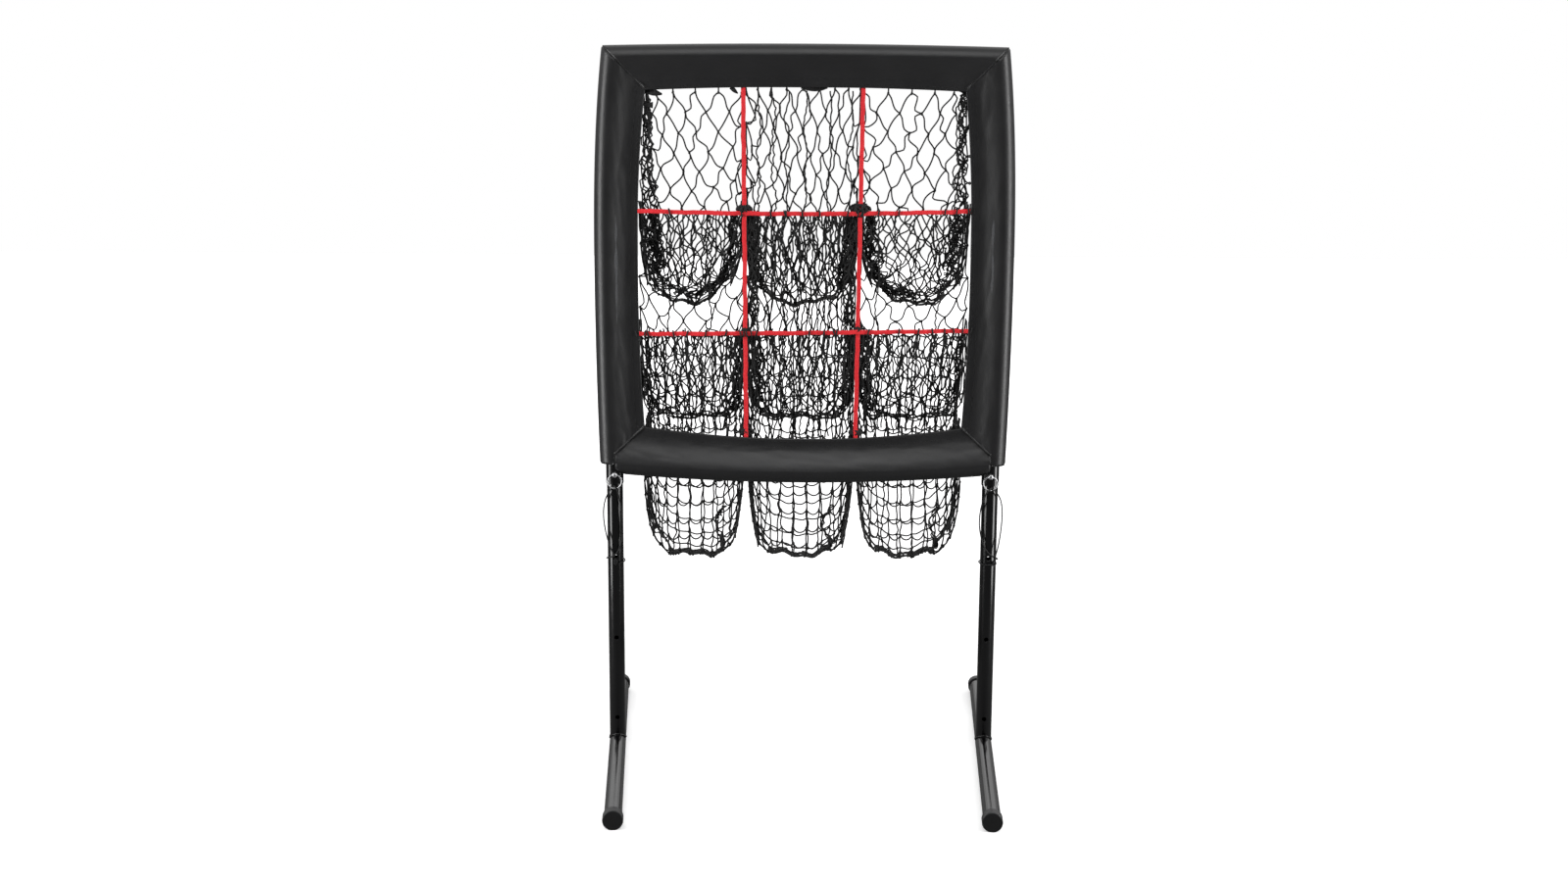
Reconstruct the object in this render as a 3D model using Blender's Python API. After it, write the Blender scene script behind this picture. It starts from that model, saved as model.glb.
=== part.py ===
"""Baseball pitching net: a bowed, sleeved frame with nine net pockets on two telescoping legs.

Metres, +Z up. The origin is on the floor, in the middle of the footprint. The front, where the
ball comes from, faces -Y. Each side's foot, leg and pin share one empty on the leg's axis.
"""

import math

import bmesh
import bpy
from mathutils import Euler, Matrix, Vector

# Clearances
FIT_GAP = 0.0003          # between pieces that touch on the real object
SEAM_GAP = 0.0003         # each side of a sewn seam between two sleeves
POST_CLEARANCE = 0.0015   # round an upright where it passes through the bottom sleeve
NET_CLEARANCE = 0.004     # between neighbouring nets, and from a net to the straps
ROUND_SEGMENTS = 28
HIDDEN_SEGMENTS = 20      # of round pieces inside the sleeves

# Feet
FOOT_OD = 0.031
FOOT_WALL = 0.0014
FOOT_LENGTH = 0.757       # over both caps
FOOT_FRONT = 0.400        # leg axis to the front cap's face
TOE_IN = math.radians(4.2)
CAP_OD = 0.036
CAP_LENGTH = 0.019
CAP_END = 0.003
CAP_EDGE = 0.0012
CAP_FLAT = 0.0005         # depth of the flat that rests on the floor

# Legs, uprights and pins
LEG_X = 0.3505
LEG_OD = 0.030
LEG_WALL = 0.0014
LEG_ABOVE_PIN = 0.085
UPRIGHT_OD = 0.033
UPRIGHT_WALL = 0.0012
UPRIGHT_END_Z = 0.520
UPRIGHT_STRAIGHT_Z = 1.100
PIN_Z = 0.5387
HOLE_PITCH = 0.1573
HOLE_COUNT = 4
HOLE_D = 0.0085
PIN_D = 0.008
PIN_TAIL = 0.004
PIN_TIP = 0.0015
PIN_HEAD_D = 0.0096
PIN_HEAD_LENGTH = 0.009
PIN_HEAD_ROUND = 0.0018
PIN_SHOULDER_GAP = 0.0006
RING_OD = 0.0283
RING_WIRE = 0.0026
RING_SPLIT = 0.0024
RING_SPLIT_ANGLE = math.radians(-73.0)
RING_EYE_D = 0.0044

# Frame outline, at the outside of the sleeves
CORNER_Z = 1.318
SIDE_OUT = 0.0330         # beyond the leg's axis, where the frame is widest
CORNER_OUT = 0.0148
SIDE_END_OUT = 0.0270
SIDE_WIDEST_DROP = 0.398  # below the top corner
SIDE_BOW_POWER = 2.5
TOP_RISE = 0.0046
SLEEVE_END_GAP = 0.0175   # from an upright's end to the bottom sleeve's edge at its ends
SIDE_END_RISE = 0.0212    # of a side sleeve's end over the bottom sleeve's edge
BOTTOM_END_IN = 0.0055
BOTTOM_BOW = 0.015
SEAM_IN = 0.0010
SEAM_RISE = 0.0392        # of the bottom corner's seam, where it turns, over the bottom edge

# Sleeves
SLEEVE_R = 0.0225
SLEEVE_WALL = 0.0012
HEM_R = 0.0022
SIDE_BAND = 0.080
SIDE_BAND_FLARE = 0.006
SIDE_BAND_MIDDLE_Z = 0.950
SIDE_BAND_FLARE_AT = 0.320
TOP_BAND = 0.077
TOP_BAND_FLARE = 0.004
BOTTOM_BAND = 0.083
BOTTOM_BAND_FLARE = 0.010
BAND_FLARE_AT_X = 0.290
SLEEVE_STATIONS = 10
SLEEVE_FIRST_STATION = 0.060     # from a side sleeve's lower end
MITRE_SPARE = 0.020       # of a sleeve beyond its corner, before the mitre is cut
CUT_MARGIN = 0.050        # how far a cutter stands past what it cuts

# Rails and their joints
RAIL_OD = 0.030
RAIL_WALL = 0.0012
ELBOW_REACH = 0.042       # from the corner of the tube axes to each shoulder
SPIGOT_LENGTH = 0.040
RAIL_STATIONS = 9
TUBE_BEND_STATIONS = 4
ELBOW_BEND_STATIONS = 4
STUB_LENGTH = 0.050
BOTTOM_RAIL_END_GAP = 0.0015

# Padding
PAD_REACH = 0.034         # from the tube's axis towards the opening
PAD_GAP = 0.0008          # between the padding and its sleeve or tube
PAD_END_GAP = 0.006
PAD_SIDE_BOTTOM_Z = 0.660

# Straps
STRAP_WIDTH = 0.008
STRAP_THICKNESS = 0.0015
STRAP_GAP = 0.0009
STRAP_SIDE_SHIFT = -0.004
STRAP_X_TOP = 0.108
STRAP_X_BOTTOM = 0.1015
UPPER_STRAP_LEFT_DROP = 0.2937   # below the top corners
UPPER_STRAP_RIGHT_DROP = 0.2915
UPPER_STRAP_SAG = 0.005
LOWER_STRAP_LEFT_DROP = 0.2247   # below the upper strap
LOWER_STRAP_RIGHT_DROP = 0.2180
LOWER_STRAP_SAG = 0.001
STRAP_STATIONS = 8

# Net pockets
NET_WALL = 0.003
NET_SLOPE = 0.44          # how far the nets stand back for each metre down
NET_DROP = 0.185          # below the strap, for the upper and middle rows
NET_DROP_BOTTOM = 0.264   # below the bottom sleeve's hem at its corners, for the bottom row
NET_BOTTOM_DEPTH = 0.080  # of a bottom bag, front to back
NET_TAPER = 0.026         # each side, at the foot of a bag
TOP_NET_INNER_TAPER = 0.050      # the outer bags of the top row, towards the middle
TOP_NET_OUTER_TAPER = 0.018
NET_SPREAD = 0.009        # how far the outer bottom bags belly out behind the side sleeves
NET_CORNER_R = 0.012
NET_FOOT_ROUND = 0.030
NET_BEHIND_SLEEVE = 0.006

# Lanyards
CORD_D = 0.0025
CORD_POINT_STEP = 0.007
KNOT_Z = 0.372
KNOT_WIDTH = 0.009
KNOT_HEIGHT = 0.012
KNOT_DEPTH = 0.007
KNOT_TURN = {"left": math.radians(0.0), "right": math.radians(36.0)}

# Worked out from the sizes above
FOOT_REAR = FOOT_LENGTH - FOOT_FRONT
FOOT_Z = CAP_OD / 2 - CAP_FLAT
POST_Y = (FOOT_FRONT - FOOT_REAR) / 2 * math.cos(TOE_IN)
LEG_TOP_Z = PIN_Z + LEG_ABOVE_PIN
SIDE_X_MAX = LEG_X + SIDE_OUT
SIDE_X_MAX_Z = CORNER_Z - SIDE_WIDEST_DROP
CORNER_X = LEG_X + CORNER_OUT
BOTTOM_EDGE_END_X = LEG_X - BOTTOM_END_IN
BOTTOM_EDGE_END_Z = UPRIGHT_END_Z + SLEEVE_END_GAP
SIDE_X_END = LEG_X + SIDE_END_OUT
SIDE_END_Z = BOTTOM_EDGE_END_Z + SIDE_END_RISE
SEAM_X = LEG_X - SEAM_IN
SEAM_Z = BOTTOM_EDGE_END_Z + SEAM_RISE
UPPER_STRAP_LEFT_Z = CORNER_Z - UPPER_STRAP_LEFT_DROP
UPPER_STRAP_RIGHT_Z = CORNER_Z - UPPER_STRAP_RIGHT_DROP
LOWER_STRAP_LEFT_Z = UPPER_STRAP_LEFT_Z - LOWER_STRAP_LEFT_DROP
LOWER_STRAP_RIGHT_Z = UPPER_STRAP_RIGHT_Z - LOWER_STRAP_RIGHT_DROP
RAIL_CORNER_X = CORNER_X - SLEEVE_R
RAIL_CORNER_Z = CORNER_Z - SLEEVE_R
RING_R = (RING_OD - RING_WIRE) / 2
RING_SAG = RING_R - math.sqrt(RING_R**2 - (PIN_HEAD_D / 2) ** 2)
RING_EYE_Y = -(UPRIGHT_OD / 2 + PIN_SHOULDER_GAP + PIN_HEAD_LENGTH * 0.6)


def material(name, color, roughness, metallic=0.0):
    """A Principled material with one plain colour."""
    made = bpy.data.materials.new(name)
    made.use_nodes = True
    shader = made.node_tree.nodes["Principled BSDF"]
    shader.inputs["Base Color"].default_value = (*color, 1.0)
    shader.inputs["Roughness"].default_value = roughness
    shader.inputs["Metallic"].default_value = metallic
    made.diffuse_color = (*color, 1.0)
    return made


def empty(name, location, turn=0.0):
    made = bpy.data.objects.new(name, None)
    made.location = location
    made.rotation_euler = Euler((0.0, 0.0, turn))
    made.empty_display_size = 0.05
    bpy.context.scene.collection.objects.link(made)
    return made


def piece(name, bm, surface, parent=None, origin=(0.0, 0.0, 0.0)):
    """A named object from a bmesh, with its origin moved to a point of its parent's space."""
    bmesh.ops.recalc_face_normals(bm, faces=bm.faces)
    bmesh.ops.translate(bm, verts=bm.verts, vec=-Vector(origin))
    mesh = bpy.data.meshes.new(name)
    bm.to_mesh(mesh)
    bm.free()
    mesh.materials.append(surface)
    mesh.shade_smooth()
    mesh.set_sharp_from_angle(angle=math.radians(35.0))
    made = bpy.data.objects.new(name, mesh)
    made.parent = parent
    made.location = origin
    bpy.context.scene.collection.objects.link(made)
    return made


def cutter(name, bm, parent=None):
    """A hidden mesh that a Boolean takes away."""
    bmesh.ops.recalc_face_normals(bm, faces=bm.faces)
    mesh = bpy.data.meshes.new(name)
    bm.to_mesh(mesh)
    bm.free()
    made = bpy.data.objects.new(name, mesh)
    made.parent = parent
    made.display_type = "WIRE"
    made.hide_render = True
    bpy.context.scene.collection.objects.link(made)
    return made


def cut(target, tool):
    modifier = target.modifiers.new("cut_" + tool.name, "BOOLEAN")
    modifier.operation = "DIFFERENCE"
    modifier.solver = "EXACT"
    modifier.object = tool


def add_loops(bm, loops):
    """Rings of vertices joined to a skin, without end faces. It returns the rings."""
    rings = [[bm.verts.new(point) for point in loop] for loop in loops]
    for first, second in zip(rings, rings[1:]):
        for i in range(len(first)):
            j = (i + 1) % len(first)
            bm.faces.new((first[i], first[j], second[j], second[i]))
    return rings


def join_rings(bm, first, second):
    for i in range(len(first)):
        j = (i + 1) % len(first)
        bm.faces.new((first[i], first[j], second[j], second[i]))


def rod(loops):
    """A closed solid through its sections."""
    bm = bmesh.new()
    rings = add_loops(bm, loops)
    bm.faces.new(rings[0])
    bm.faces.new(rings[-1])
    return bm


def pipe(outer, inner):
    """A hollow solid, open at both ends."""
    bm = bmesh.new()
    outside = add_loops(bm, outer)
    inside = add_loops(bm, inner)
    join_rings(bm, outside[0], inside[0])
    join_rings(bm, outside[-1], inside[-1])
    return bm


def cup(outer, inner):
    """A hollow solid that is closed at its first sections and open at its last."""
    bm = bmesh.new()
    outside = add_loops(bm, outer)
    inside = add_loops(bm, inner)
    bm.faces.new(outside[0])
    bm.faces.new(inside[0])
    join_rings(bm, outside[-1], inside[-1])
    return bm


def circle(radius, count=ROUND_SEGMENTS):
    return [
        (radius * math.cos(2 * math.pi * i / count), radius * math.sin(2 * math.pi * i / count))
        for i in range(count)
    ]


def level_ring(radius, z, x=0.0, y=0.0):
    return [(x + a, y + b, z) for a, b in circle(radius)]


def y_ring(radius, y, z=0.0, flat=None):
    """A ring round the Y direction. Its lowest points are held at the depth of a flat."""
    lowest = -radius if flat is None else flat - radius
    return [(a, y, z + max(b, lowest)) for a, b in circle(radius)]


def section(path, at, outline):
    """The outline's points (across, depth) set square to a path in the XZ plane.

    path(at) gives (x, z); across points to the left of the way the path runs.
    """
    step = 1e-4
    x, z = path(at)
    ahead, behind = path(at + step), path(at - step)
    along = Vector((ahead[0] - behind[0], ahead[1] - behind[1])).normalized()
    across = Vector((-along.y, along.x))
    return [(x + u * across.x, POST_Y + v, z + u * across.y) for u, v in outline]


def spaced(first, last, count):
    return [first + (last - first) * i / (count - 1) for i in range(count)]


def teardrop(radius, reach, hem, big=15, small=4):
    """The sleeve's section: a round part about the tube that narrows to a thin hem at reach."""
    length = reach - hem
    tangent = math.acos((radius - hem) / length)
    points = []
    for angle in spaced(tangent, 2 * math.pi - tangent, big):
        points.append((radius * math.cos(angle), radius * math.sin(angle)))
    for angle in spaced(-tangent, tangent, small):
        points.append((length + hem * math.cos(angle), hem * math.sin(angle)))
    return points


def prism(outline, name):
    """A cutter whose outline lies in the XZ plane, right through the frame."""
    depth = 4 * SLEEVE_R
    loops = [[(x, POST_Y + y, z) for x, z in outline] for y in (-depth, depth)]
    return cutter(name, rod(loops))


def side_edge(z):
    """Half the frame's outside width at a height."""
    if z > SIDE_X_MAX_Z:
        share = (z - SIDE_X_MAX_Z) / (CORNER_Z - SIDE_X_MAX_Z)
        return SIDE_X_MAX - (SIDE_X_MAX - CORNER_X) * share**SIDE_BOW_POWER
    share = (SIDE_X_MAX_Z - z) / (SIDE_X_MAX_Z - SIDE_END_Z)
    return SIDE_X_MAX - (SIDE_X_MAX - SIDE_X_END) * share**2


def side_band(z):
    return SIDE_BAND + SIDE_BAND_FLARE * ((z - SIDE_BAND_MIDDLE_Z) / SIDE_BAND_FLARE_AT) ** 2


def top_edge(x):
    return CORNER_Z + TOP_RISE * (1 - (x / CORNER_X) ** 2)


def top_band(x):
    return TOP_BAND + TOP_BAND_FLARE * (x / BAND_FLARE_AT_X) ** 2


def bottom_edge(x):
    return BOTTOM_EDGE_END_Z - BOTTOM_BOW * (1 - (x / BOTTOM_EDGE_END_X) ** 2)


def bottom_band(x):
    return BOTTOM_BAND + BOTTOM_BAND_FLARE * (x / BAND_FLARE_AT_X) ** 2


def upright_path(z):
    """The upright's axis: straight where the leg slides, then leaning in to the top corner."""
    if z <= UPRIGHT_STRAIGHT_Z:
        return LEG_X, z
    share = (z - UPRIGHT_STRAIGHT_Z) / (RAIL_CORNER_Z - UPRIGHT_STRAIGHT_Z)
    return LEG_X - (LEG_X - RAIL_CORNER_X) * share**2, z


def top_rail_path(x):
    return x, top_edge(x) - SLEEVE_R


def bottom_rail_path(x):
    return x, bottom_edge(x) + SLEEVE_R


def side_path(z):
    return side_edge(z) - SLEEVE_R, z


def mirrored(loops, side):
    return [[(side * x, y, z) for x, y, z in loop] for loop in loops]


def foot(name, side, parent, painted, plastic):
    """A foot tube along the parent's Y, and its two caps."""
    radius = FOOT_OD / 2
    front = -FOOT_FRONT + CAP_END + FIT_GAP
    rear = FOOT_REAR - CAP_END - FIT_GAP
    outer = [y_ring(radius, y, FOOT_Z) for y in (front, rear)]
    inner = [y_ring(radius - FOOT_WALL, y, FOOT_Z) for y in (front, rear)]
    piece(name + "_foot_tube", pipe(outer, inner), painted, parent)
    for end, face, inward in (("front", -FOOT_FRONT, 1), ("rear", FOOT_REAR, -1)):
        outside = [
            y_ring(CAP_OD / 2 - CAP_EDGE, face, FOOT_Z, CAP_FLAT),
            y_ring(CAP_OD / 2, face + inward * CAP_EDGE, FOOT_Z, CAP_FLAT),
            y_ring(CAP_OD / 2, face + inward * CAP_LENGTH, FOOT_Z, CAP_FLAT),
        ]
        bore = radius + FIT_GAP
        inside = [
            y_ring(bore, face + inward * CAP_END, FOOT_Z),
            y_ring(bore, face + inward * CAP_LENGTH, FOOT_Z),
        ]
        piece(f"{name}_{end}_foot_cap", cup(outside, inside), plastic, parent, (0.0, face, FOOT_Z))


def hole_cutter(name, heights, diameter, parent):
    """Drills along the parent's Y at some heights."""
    bm = bmesh.new()
    reach = UPRIGHT_OD
    for z in heights:
        rings = add_loops(
            bm, [[(a, y, z + b) for a, b in circle(diameter / 2, 16)] for y in (-reach, reach)]
        )
        bm.faces.new(rings[0])
        bm.faces.new(rings[-1])
    return cutter(name, bm, parent)


def leg(name, parent, painted):
    """A leg tube, coped to sit on the foot tube, with its row of holes."""
    seat = FOOT_OD / 2 + FIT_GAP

    def bottom(radius):
        return [(a, b, FOOT_Z + math.sqrt(seat**2 - a**2)) for a, b in circle(radius)]

    outer_r = LEG_OD / 2
    inner_r = outer_r - LEG_WALL
    outer = [bottom(outer_r), level_ring(outer_r, LEG_TOP_Z)]
    inner = [bottom(inner_r), level_ring(inner_r, LEG_TOP_Z)]
    made = piece(name + "_leg", pipe(outer, inner), painted, parent)
    heights = [PIN_Z - HOLE_PITCH * i for i in range(HOLE_COUNT)]
    cut(made, hole_cutter(name + "_leg_drill", heights, HOLE_D, parent))


def pin(name, parent, steel):
    """A pull pin along the parent's Y, with an eye for its ring."""
    front = -(UPRIGHT_OD / 2 + PIN_SHOULDER_GAP)
    tail = UPRIGHT_OD / 2 + PIN_TAIL
    head = front - PIN_HEAD_LENGTH
    steps = (
        (PIN_HEAD_D / 2 - PIN_HEAD_ROUND, head),
        (PIN_HEAD_D / 2 - PIN_HEAD_ROUND * 0.3, head + PIN_HEAD_ROUND * 0.3),
        (PIN_HEAD_D / 2, head + PIN_HEAD_ROUND),
        (PIN_HEAD_D / 2, front),
        (PIN_D / 2, front),
        (PIN_D / 2, tail - PIN_TIP),
        (PIN_D / 2 - PIN_TIP, tail),
    )
    loops = [[(a, y, PIN_Z + b) for a, b in circle(r, 20)] for r, y in steps]
    made = piece(name + "_pin", rod(loops), steel, parent, (0.0, 0.0, PIN_Z))
    reach = PIN_HEAD_D
    eye = rod([
        [(x, RING_EYE_Y + a, PIN_Z + b) for a, b in circle(RING_EYE_D / 2, 16)] for x in (-reach, reach)
    ])
    cut(made, cutter(name + "_pin_eye", eye, parent))


def ring(name, parent, steel):
    """An open ring through the pin's eye. Its origin is the eye's middle, where it swings."""
    centre = PIN_Z + RING_SAG / 2 - RING_R
    half_split = RING_SPLIT / RING_R / 2
    loops = []
    for angle in spaced(RING_SPLIT_ANGLE + half_split, RING_SPLIT_ANGLE + 2 * math.pi - half_split, 29):
        loops.append([
            (
                (RING_R + a) * math.cos(angle),
                RING_EYE_Y + b,
                centre + (RING_R + a) * math.sin(angle),
            )
            for a, b in circle(RING_WIRE / 2, 8)
        ])
    piece(name + "_ring", rod(loops), steel, parent, (0.0, RING_EYE_Y, PIN_Z))


def upright(name, side, parent, leg_axis, painted):
    """An upright tube from just below the bottom sleeve to the top corner's elbow."""
    top = RAIL_CORNER_Z - ELBOW_REACH
    heights = [UPRIGHT_END_Z] + spaced(UPRIGHT_STRAIGHT_Z, top, TUBE_BEND_STATIONS)
    outer_r = UPRIGHT_OD / 2
    inner_r = outer_r - UPRIGHT_WALL
    outer = mirrored([section(upright_path, z, circle(outer_r)) for z in heights], side)
    inner = mirrored([section(upright_path, z, circle(inner_r)) for z in heights], side)
    made = piece(name + "_upright", pipe(outer, inner), painted, parent)
    cut(made, hole_cutter(name + "_upright_drill", [PIN_Z], HOLE_D, leg_axis))


def corner_elbow(name, side, parent, cast):
    """An elbow whose spigots fit inside the upright's top end and the top rail's end."""
    spigot_up = UPRIGHT_OD / 2 - UPRIGHT_WALL - FIT_GAP
    spigot_rail = RAIL_OD / 2 - RAIL_WALL - FIT_GAP
    low = RAIL_CORNER_Z - ELBOW_REACH + FIT_GAP
    inner = RAIL_CORNER_X - ELBOW_REACH + FIT_GAP
    start = Vector(upright_path(low))
    finish = Vector(top_rail_path(inner))
    corner = Vector((RAIL_CORNER_X, RAIL_CORNER_Z))

    def bend(t):
        point = start * (1 - t) ** 2 + corner * 2 * t * (1 - t) + finish * t**2
        return point.x, point.y

    def rail_inward(t):
        return top_rail_path(-t)

    in_upright = circle(spigot_up, HIDDEN_SEGMENTS)
    in_rail = circle(spigot_rail, HIDDEN_SEGMENTS)
    around = circle(UPRIGHT_OD / 2, HIDDEN_SEGMENTS)
    loops = [section(upright_path, z, in_upright) for z in (low - SPIGOT_LENGTH, low)]
    loops.append(section(upright_path, low, around))
    loops += [section(bend, t, around) for t in spaced(0.0, 1.0, ELBOW_BEND_STATIONS + 2)[1:-1]]
    loops.append(section(rail_inward, -inner, around))
    loops += [section(rail_inward, at, in_rail) for at in (-inner, -inner + SPIGOT_LENGTH)]
    piece(name + "_corner_elbow", rod(mirrored(loops, side)), cast, parent)


def tee_stub(name, side, parent, painted):
    """A short tube on the upright, coped to it, that the bottom rail slides over."""
    seat = UPRIGHT_OD / 2 + FIT_GAP
    outer_r = RAIL_OD / 2 - RAIL_WALL - FIT_GAP
    inner_r = outer_r - RAIL_WALL
    near = LEG_X - seat

    def coped(radius):
        loop = section(bottom_rail_path, near, circle(radius, HIDDEN_SEGMENTS))
        return [(LEG_X - math.sqrt(seat**2 - (y - POST_Y) ** 2), y, z) for _, y, z in loop]

    far = near - STUB_LENGTH
    outer = [coped(outer_r), section(bottom_rail_path, far, circle(outer_r, HIDDEN_SEGMENTS))]
    inner = [coped(inner_r), section(bottom_rail_path, far, circle(inner_r, HIDDEN_SEGMENTS))]
    piece(name + "_tee_stub", pipe(mirrored(outer, side), mirrored(inner, side)), painted, parent)


def rail(name, path, half, parent, painted):
    stations = spaced(-half, half, RAIL_STATIONS)
    outer = [section(path, x, circle(RAIL_OD / 2, HIDDEN_SEGMENTS)) for x in stations]
    inner = [section(path, x, circle(RAIL_OD / 2 - RAIL_WALL, HIDDEN_SEGMENTS)) for x in stations]
    piece(name, pipe(outer, inner), painted, parent)


def turned(path):
    """The same path run the other way, which puts the opening on its left."""
    return lambda t: path(-t)


def sleeve_loops(path, stations, band):
    """The outer and inner sections of a sleeve whose hem is on the left of its path."""
    outer, inner = [], []
    for at in stations:
        reach = band(at) - SLEEVE_R
        outer.append(section(path, at, teardrop(SLEEVE_R, reach, HEM_R)))
        inside = teardrop(SLEEVE_R - SLEEVE_WALL, reach - SLEEVE_WALL, HEM_R - SLEEVE_WALL)
        inner.append(section(path, at, inside))
    return outer, inner


def side_sleeve(name, side, parent, fabric):
    """A side sleeve, mitred at the top, and at the bottom cut round the bottom sleeve's end."""
    stations = [SIDE_END_Z]
    stations += spaced(SIDE_END_Z + SLEEVE_FIRST_STATION, CORNER_Z + MITRE_SPARE, SLEEVE_STATIONS)
    outer, inner = sleeve_loops(side_path, stations, side_band)
    made = piece(name + "_sleeve", pipe(mirrored(outer, side), mirrored(inner, side)), fabric, parent)
    reach = 2 * SIDE_BAND
    margin = CUT_MARGIN
    top = [
        (CORNER_X + margin, CORNER_Z + margin - SEAM_GAP),
        (CORNER_X - reach, CORNER_Z - reach - SEAM_GAP),
        (CORNER_X - reach, CORNER_Z + 2 * margin),
        (CORNER_X + margin, CORNER_Z + 2 * margin),
    ]
    bottom = [
        (SEAM_X + SEAM_GAP, SIDE_END_Z - margin),
        (SEAM_X + SEAM_GAP, SEAM_Z + SEAM_GAP),
        (SEAM_X - reach, SEAM_Z + reach + 2 * SEAM_GAP),
        (SEAM_X - reach, SIDE_END_Z - margin),
    ]
    for what, outline in (("top", top), ("bottom", bottom)):
        cut(made, prism([(side * x, z) for x, z in outline], f"{name}_sleeve_{what}_mitre"))


def top_sleeve(parent, fabric):
    margin = CUT_MARGIN
    half = CORNER_X + MITRE_SPARE
    outer, inner = sleeve_loops(turned(top_rail_path), spaced(-half, half, SLEEVE_STATIONS), top_band)
    made = piece("top_sleeve", pipe(outer, inner), fabric, parent)
    reach = 2 * SIDE_BAND
    for side in (-1, 1):
        outline = [
            (CORNER_X + 2 * margin, CORNER_Z + 2 * margin + SEAM_GAP),
            (CORNER_X - reach, CORNER_Z - reach + SEAM_GAP),
            (CORNER_X + 2 * margin, CORNER_Z - reach),
        ]
        name = "top_sleeve_left_mitre" if side < 0 else "top_sleeve_right_mitre"
        cut(made, prism([(side * x, z) for x, z in outline], name))


def bottom_sleeve(parent, fabric):
    """The bottom sleeve, whose ends lap round the inner half of each upright."""
    margin = CUT_MARGIN
    half = SEAM_X + MITRE_SPARE
    outer, inner = sleeve_loops(bottom_rail_path, spaced(-half, half, SLEEVE_STATIONS), bottom_band)
    made = piece("bottom_sleeve", pipe(outer, inner), fabric, parent)
    reach = 2 * SIDE_BAND
    for side, name in ((-1, "left"), (1, "right")):
        outline = [
            (SEAM_X - SEAM_GAP, BOTTOM_EDGE_END_Z - margin),
            (SEAM_X - SEAM_GAP, SEAM_Z - SEAM_GAP),
            (SEAM_X - reach, SEAM_Z + reach - 2 * SEAM_GAP),
            (SEAM_X + margin, SEAM_Z + reach),
            (SEAM_X + margin, BOTTOM_EDGE_END_Z - margin),
        ]
        cut(made, prism([(side * x, z) for x, z in outline], f"bottom_sleeve_{name}_mitre"))
        radius = UPRIGHT_OD / 2 + POST_CLEARANCE
        low, high = BOTTOM_EDGE_END_Z - margin, SEAM_Z + margin
        post = rod([level_ring(radius, z, side * LEG_X, POST_Y) for z in (low, high)])
        cut(made, cutter(f"bottom_sleeve_{name}_post", post))


def reach_out(outline, shift, direction):
    """How far an outline lies from the point (shift, 0) of its plane, in a direction."""
    centre = Vector((shift, 0.0))
    nearest = math.inf
    for i, start in enumerate(outline):
        start = Vector(start)
        edge = Vector(outline[(i + 1) % len(outline)]) - start
        outward = Vector((edge.y, -edge.x))
        facing = outward.dot(direction)
        if facing > 1e-9:
            nearest = min(nearest, outward.dot(start - centre) / facing)
    return nearest


def pad_loops(path, band, tube_path, stations, tube_od):
    """Padding that fills a sleeve round its tube, as outer and inner sections of equal counts."""
    outer, inner = [], []
    radius = SLEEVE_R - SLEEVE_WALL - PAD_GAP
    bore = tube_od / 2 + PAD_GAP
    for at in stations:
        shift = math.dist(path(at), tube_path(at))
        reach = shift + PAD_REACH
        slope = (SLEEVE_R - HEM_R) / (band(at) - SLEEVE_R - HEM_R)
        end = (radius - slope * reach) / (1 - slope)
        outline = teardrop(radius, reach, end, 22, 10)
        shape, hole = [], []
        for a, b in circle(1.0, HIDDEN_SEGMENTS):
            far = reach_out(outline, shift, Vector((a, b)))
            shape.append((shift + far * a, far * b))
            hole.append((shift + bore * a, bore * b))
        outer.append(section(path, at, shape))
        inner.append(section(path, at, hole))
    return outer, inner


def strap(name, points, parent, webbing, flat_to_front, depth):
    """A flat strap through points (x, z), with its face to the front."""
    loops = []
    half = STRAP_WIDTH / 2
    for x, z in points:
        if flat_to_front == "level":
            corners = [(x, z - half), (x, z + half)]
        else:
            corners = [(x - half, z), (x + half, z)]
        (x0, z0), (x1, z1) = corners
        near, far = depth - STRAP_THICKNESS / 2, depth + STRAP_THICKNESS / 2
        loops.append([
            (x0, POST_Y + near, z0),
            (x1, POST_Y + near, z1),
            (x1, POST_Y + far, z1),
            (x0, POST_Y + far, z0),
        ])
    piece(name, rod(loops), webbing, parent)


def strap_x(side, z):
    """Where an upright strap's middle runs at a height."""
    low, high = bottom_hem(0.0), top_hem(0.0)
    share = (z - low) / (high - low)
    return side * (STRAP_X_BOTTOM + (STRAP_X_TOP - STRAP_X_BOTTOM) * share) + STRAP_SIDE_SHIFT


def top_hem(x):
    return top_edge(x) - top_band(x)


def bottom_hem(x):
    return bottom_edge(x) + bottom_band(x)


def side_hem(z):
    return side_edge(z) - side_band(z)


def level_strap_z(x, left_z, right_z, sag):
    """The height of a level strap's middle: straight between its ends, less its sag."""
    share = (x / side_hem(left_z) + 1) / 2
    return left_z + (right_z - left_z) * share - sag * 4 * share * (1 - share)


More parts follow.
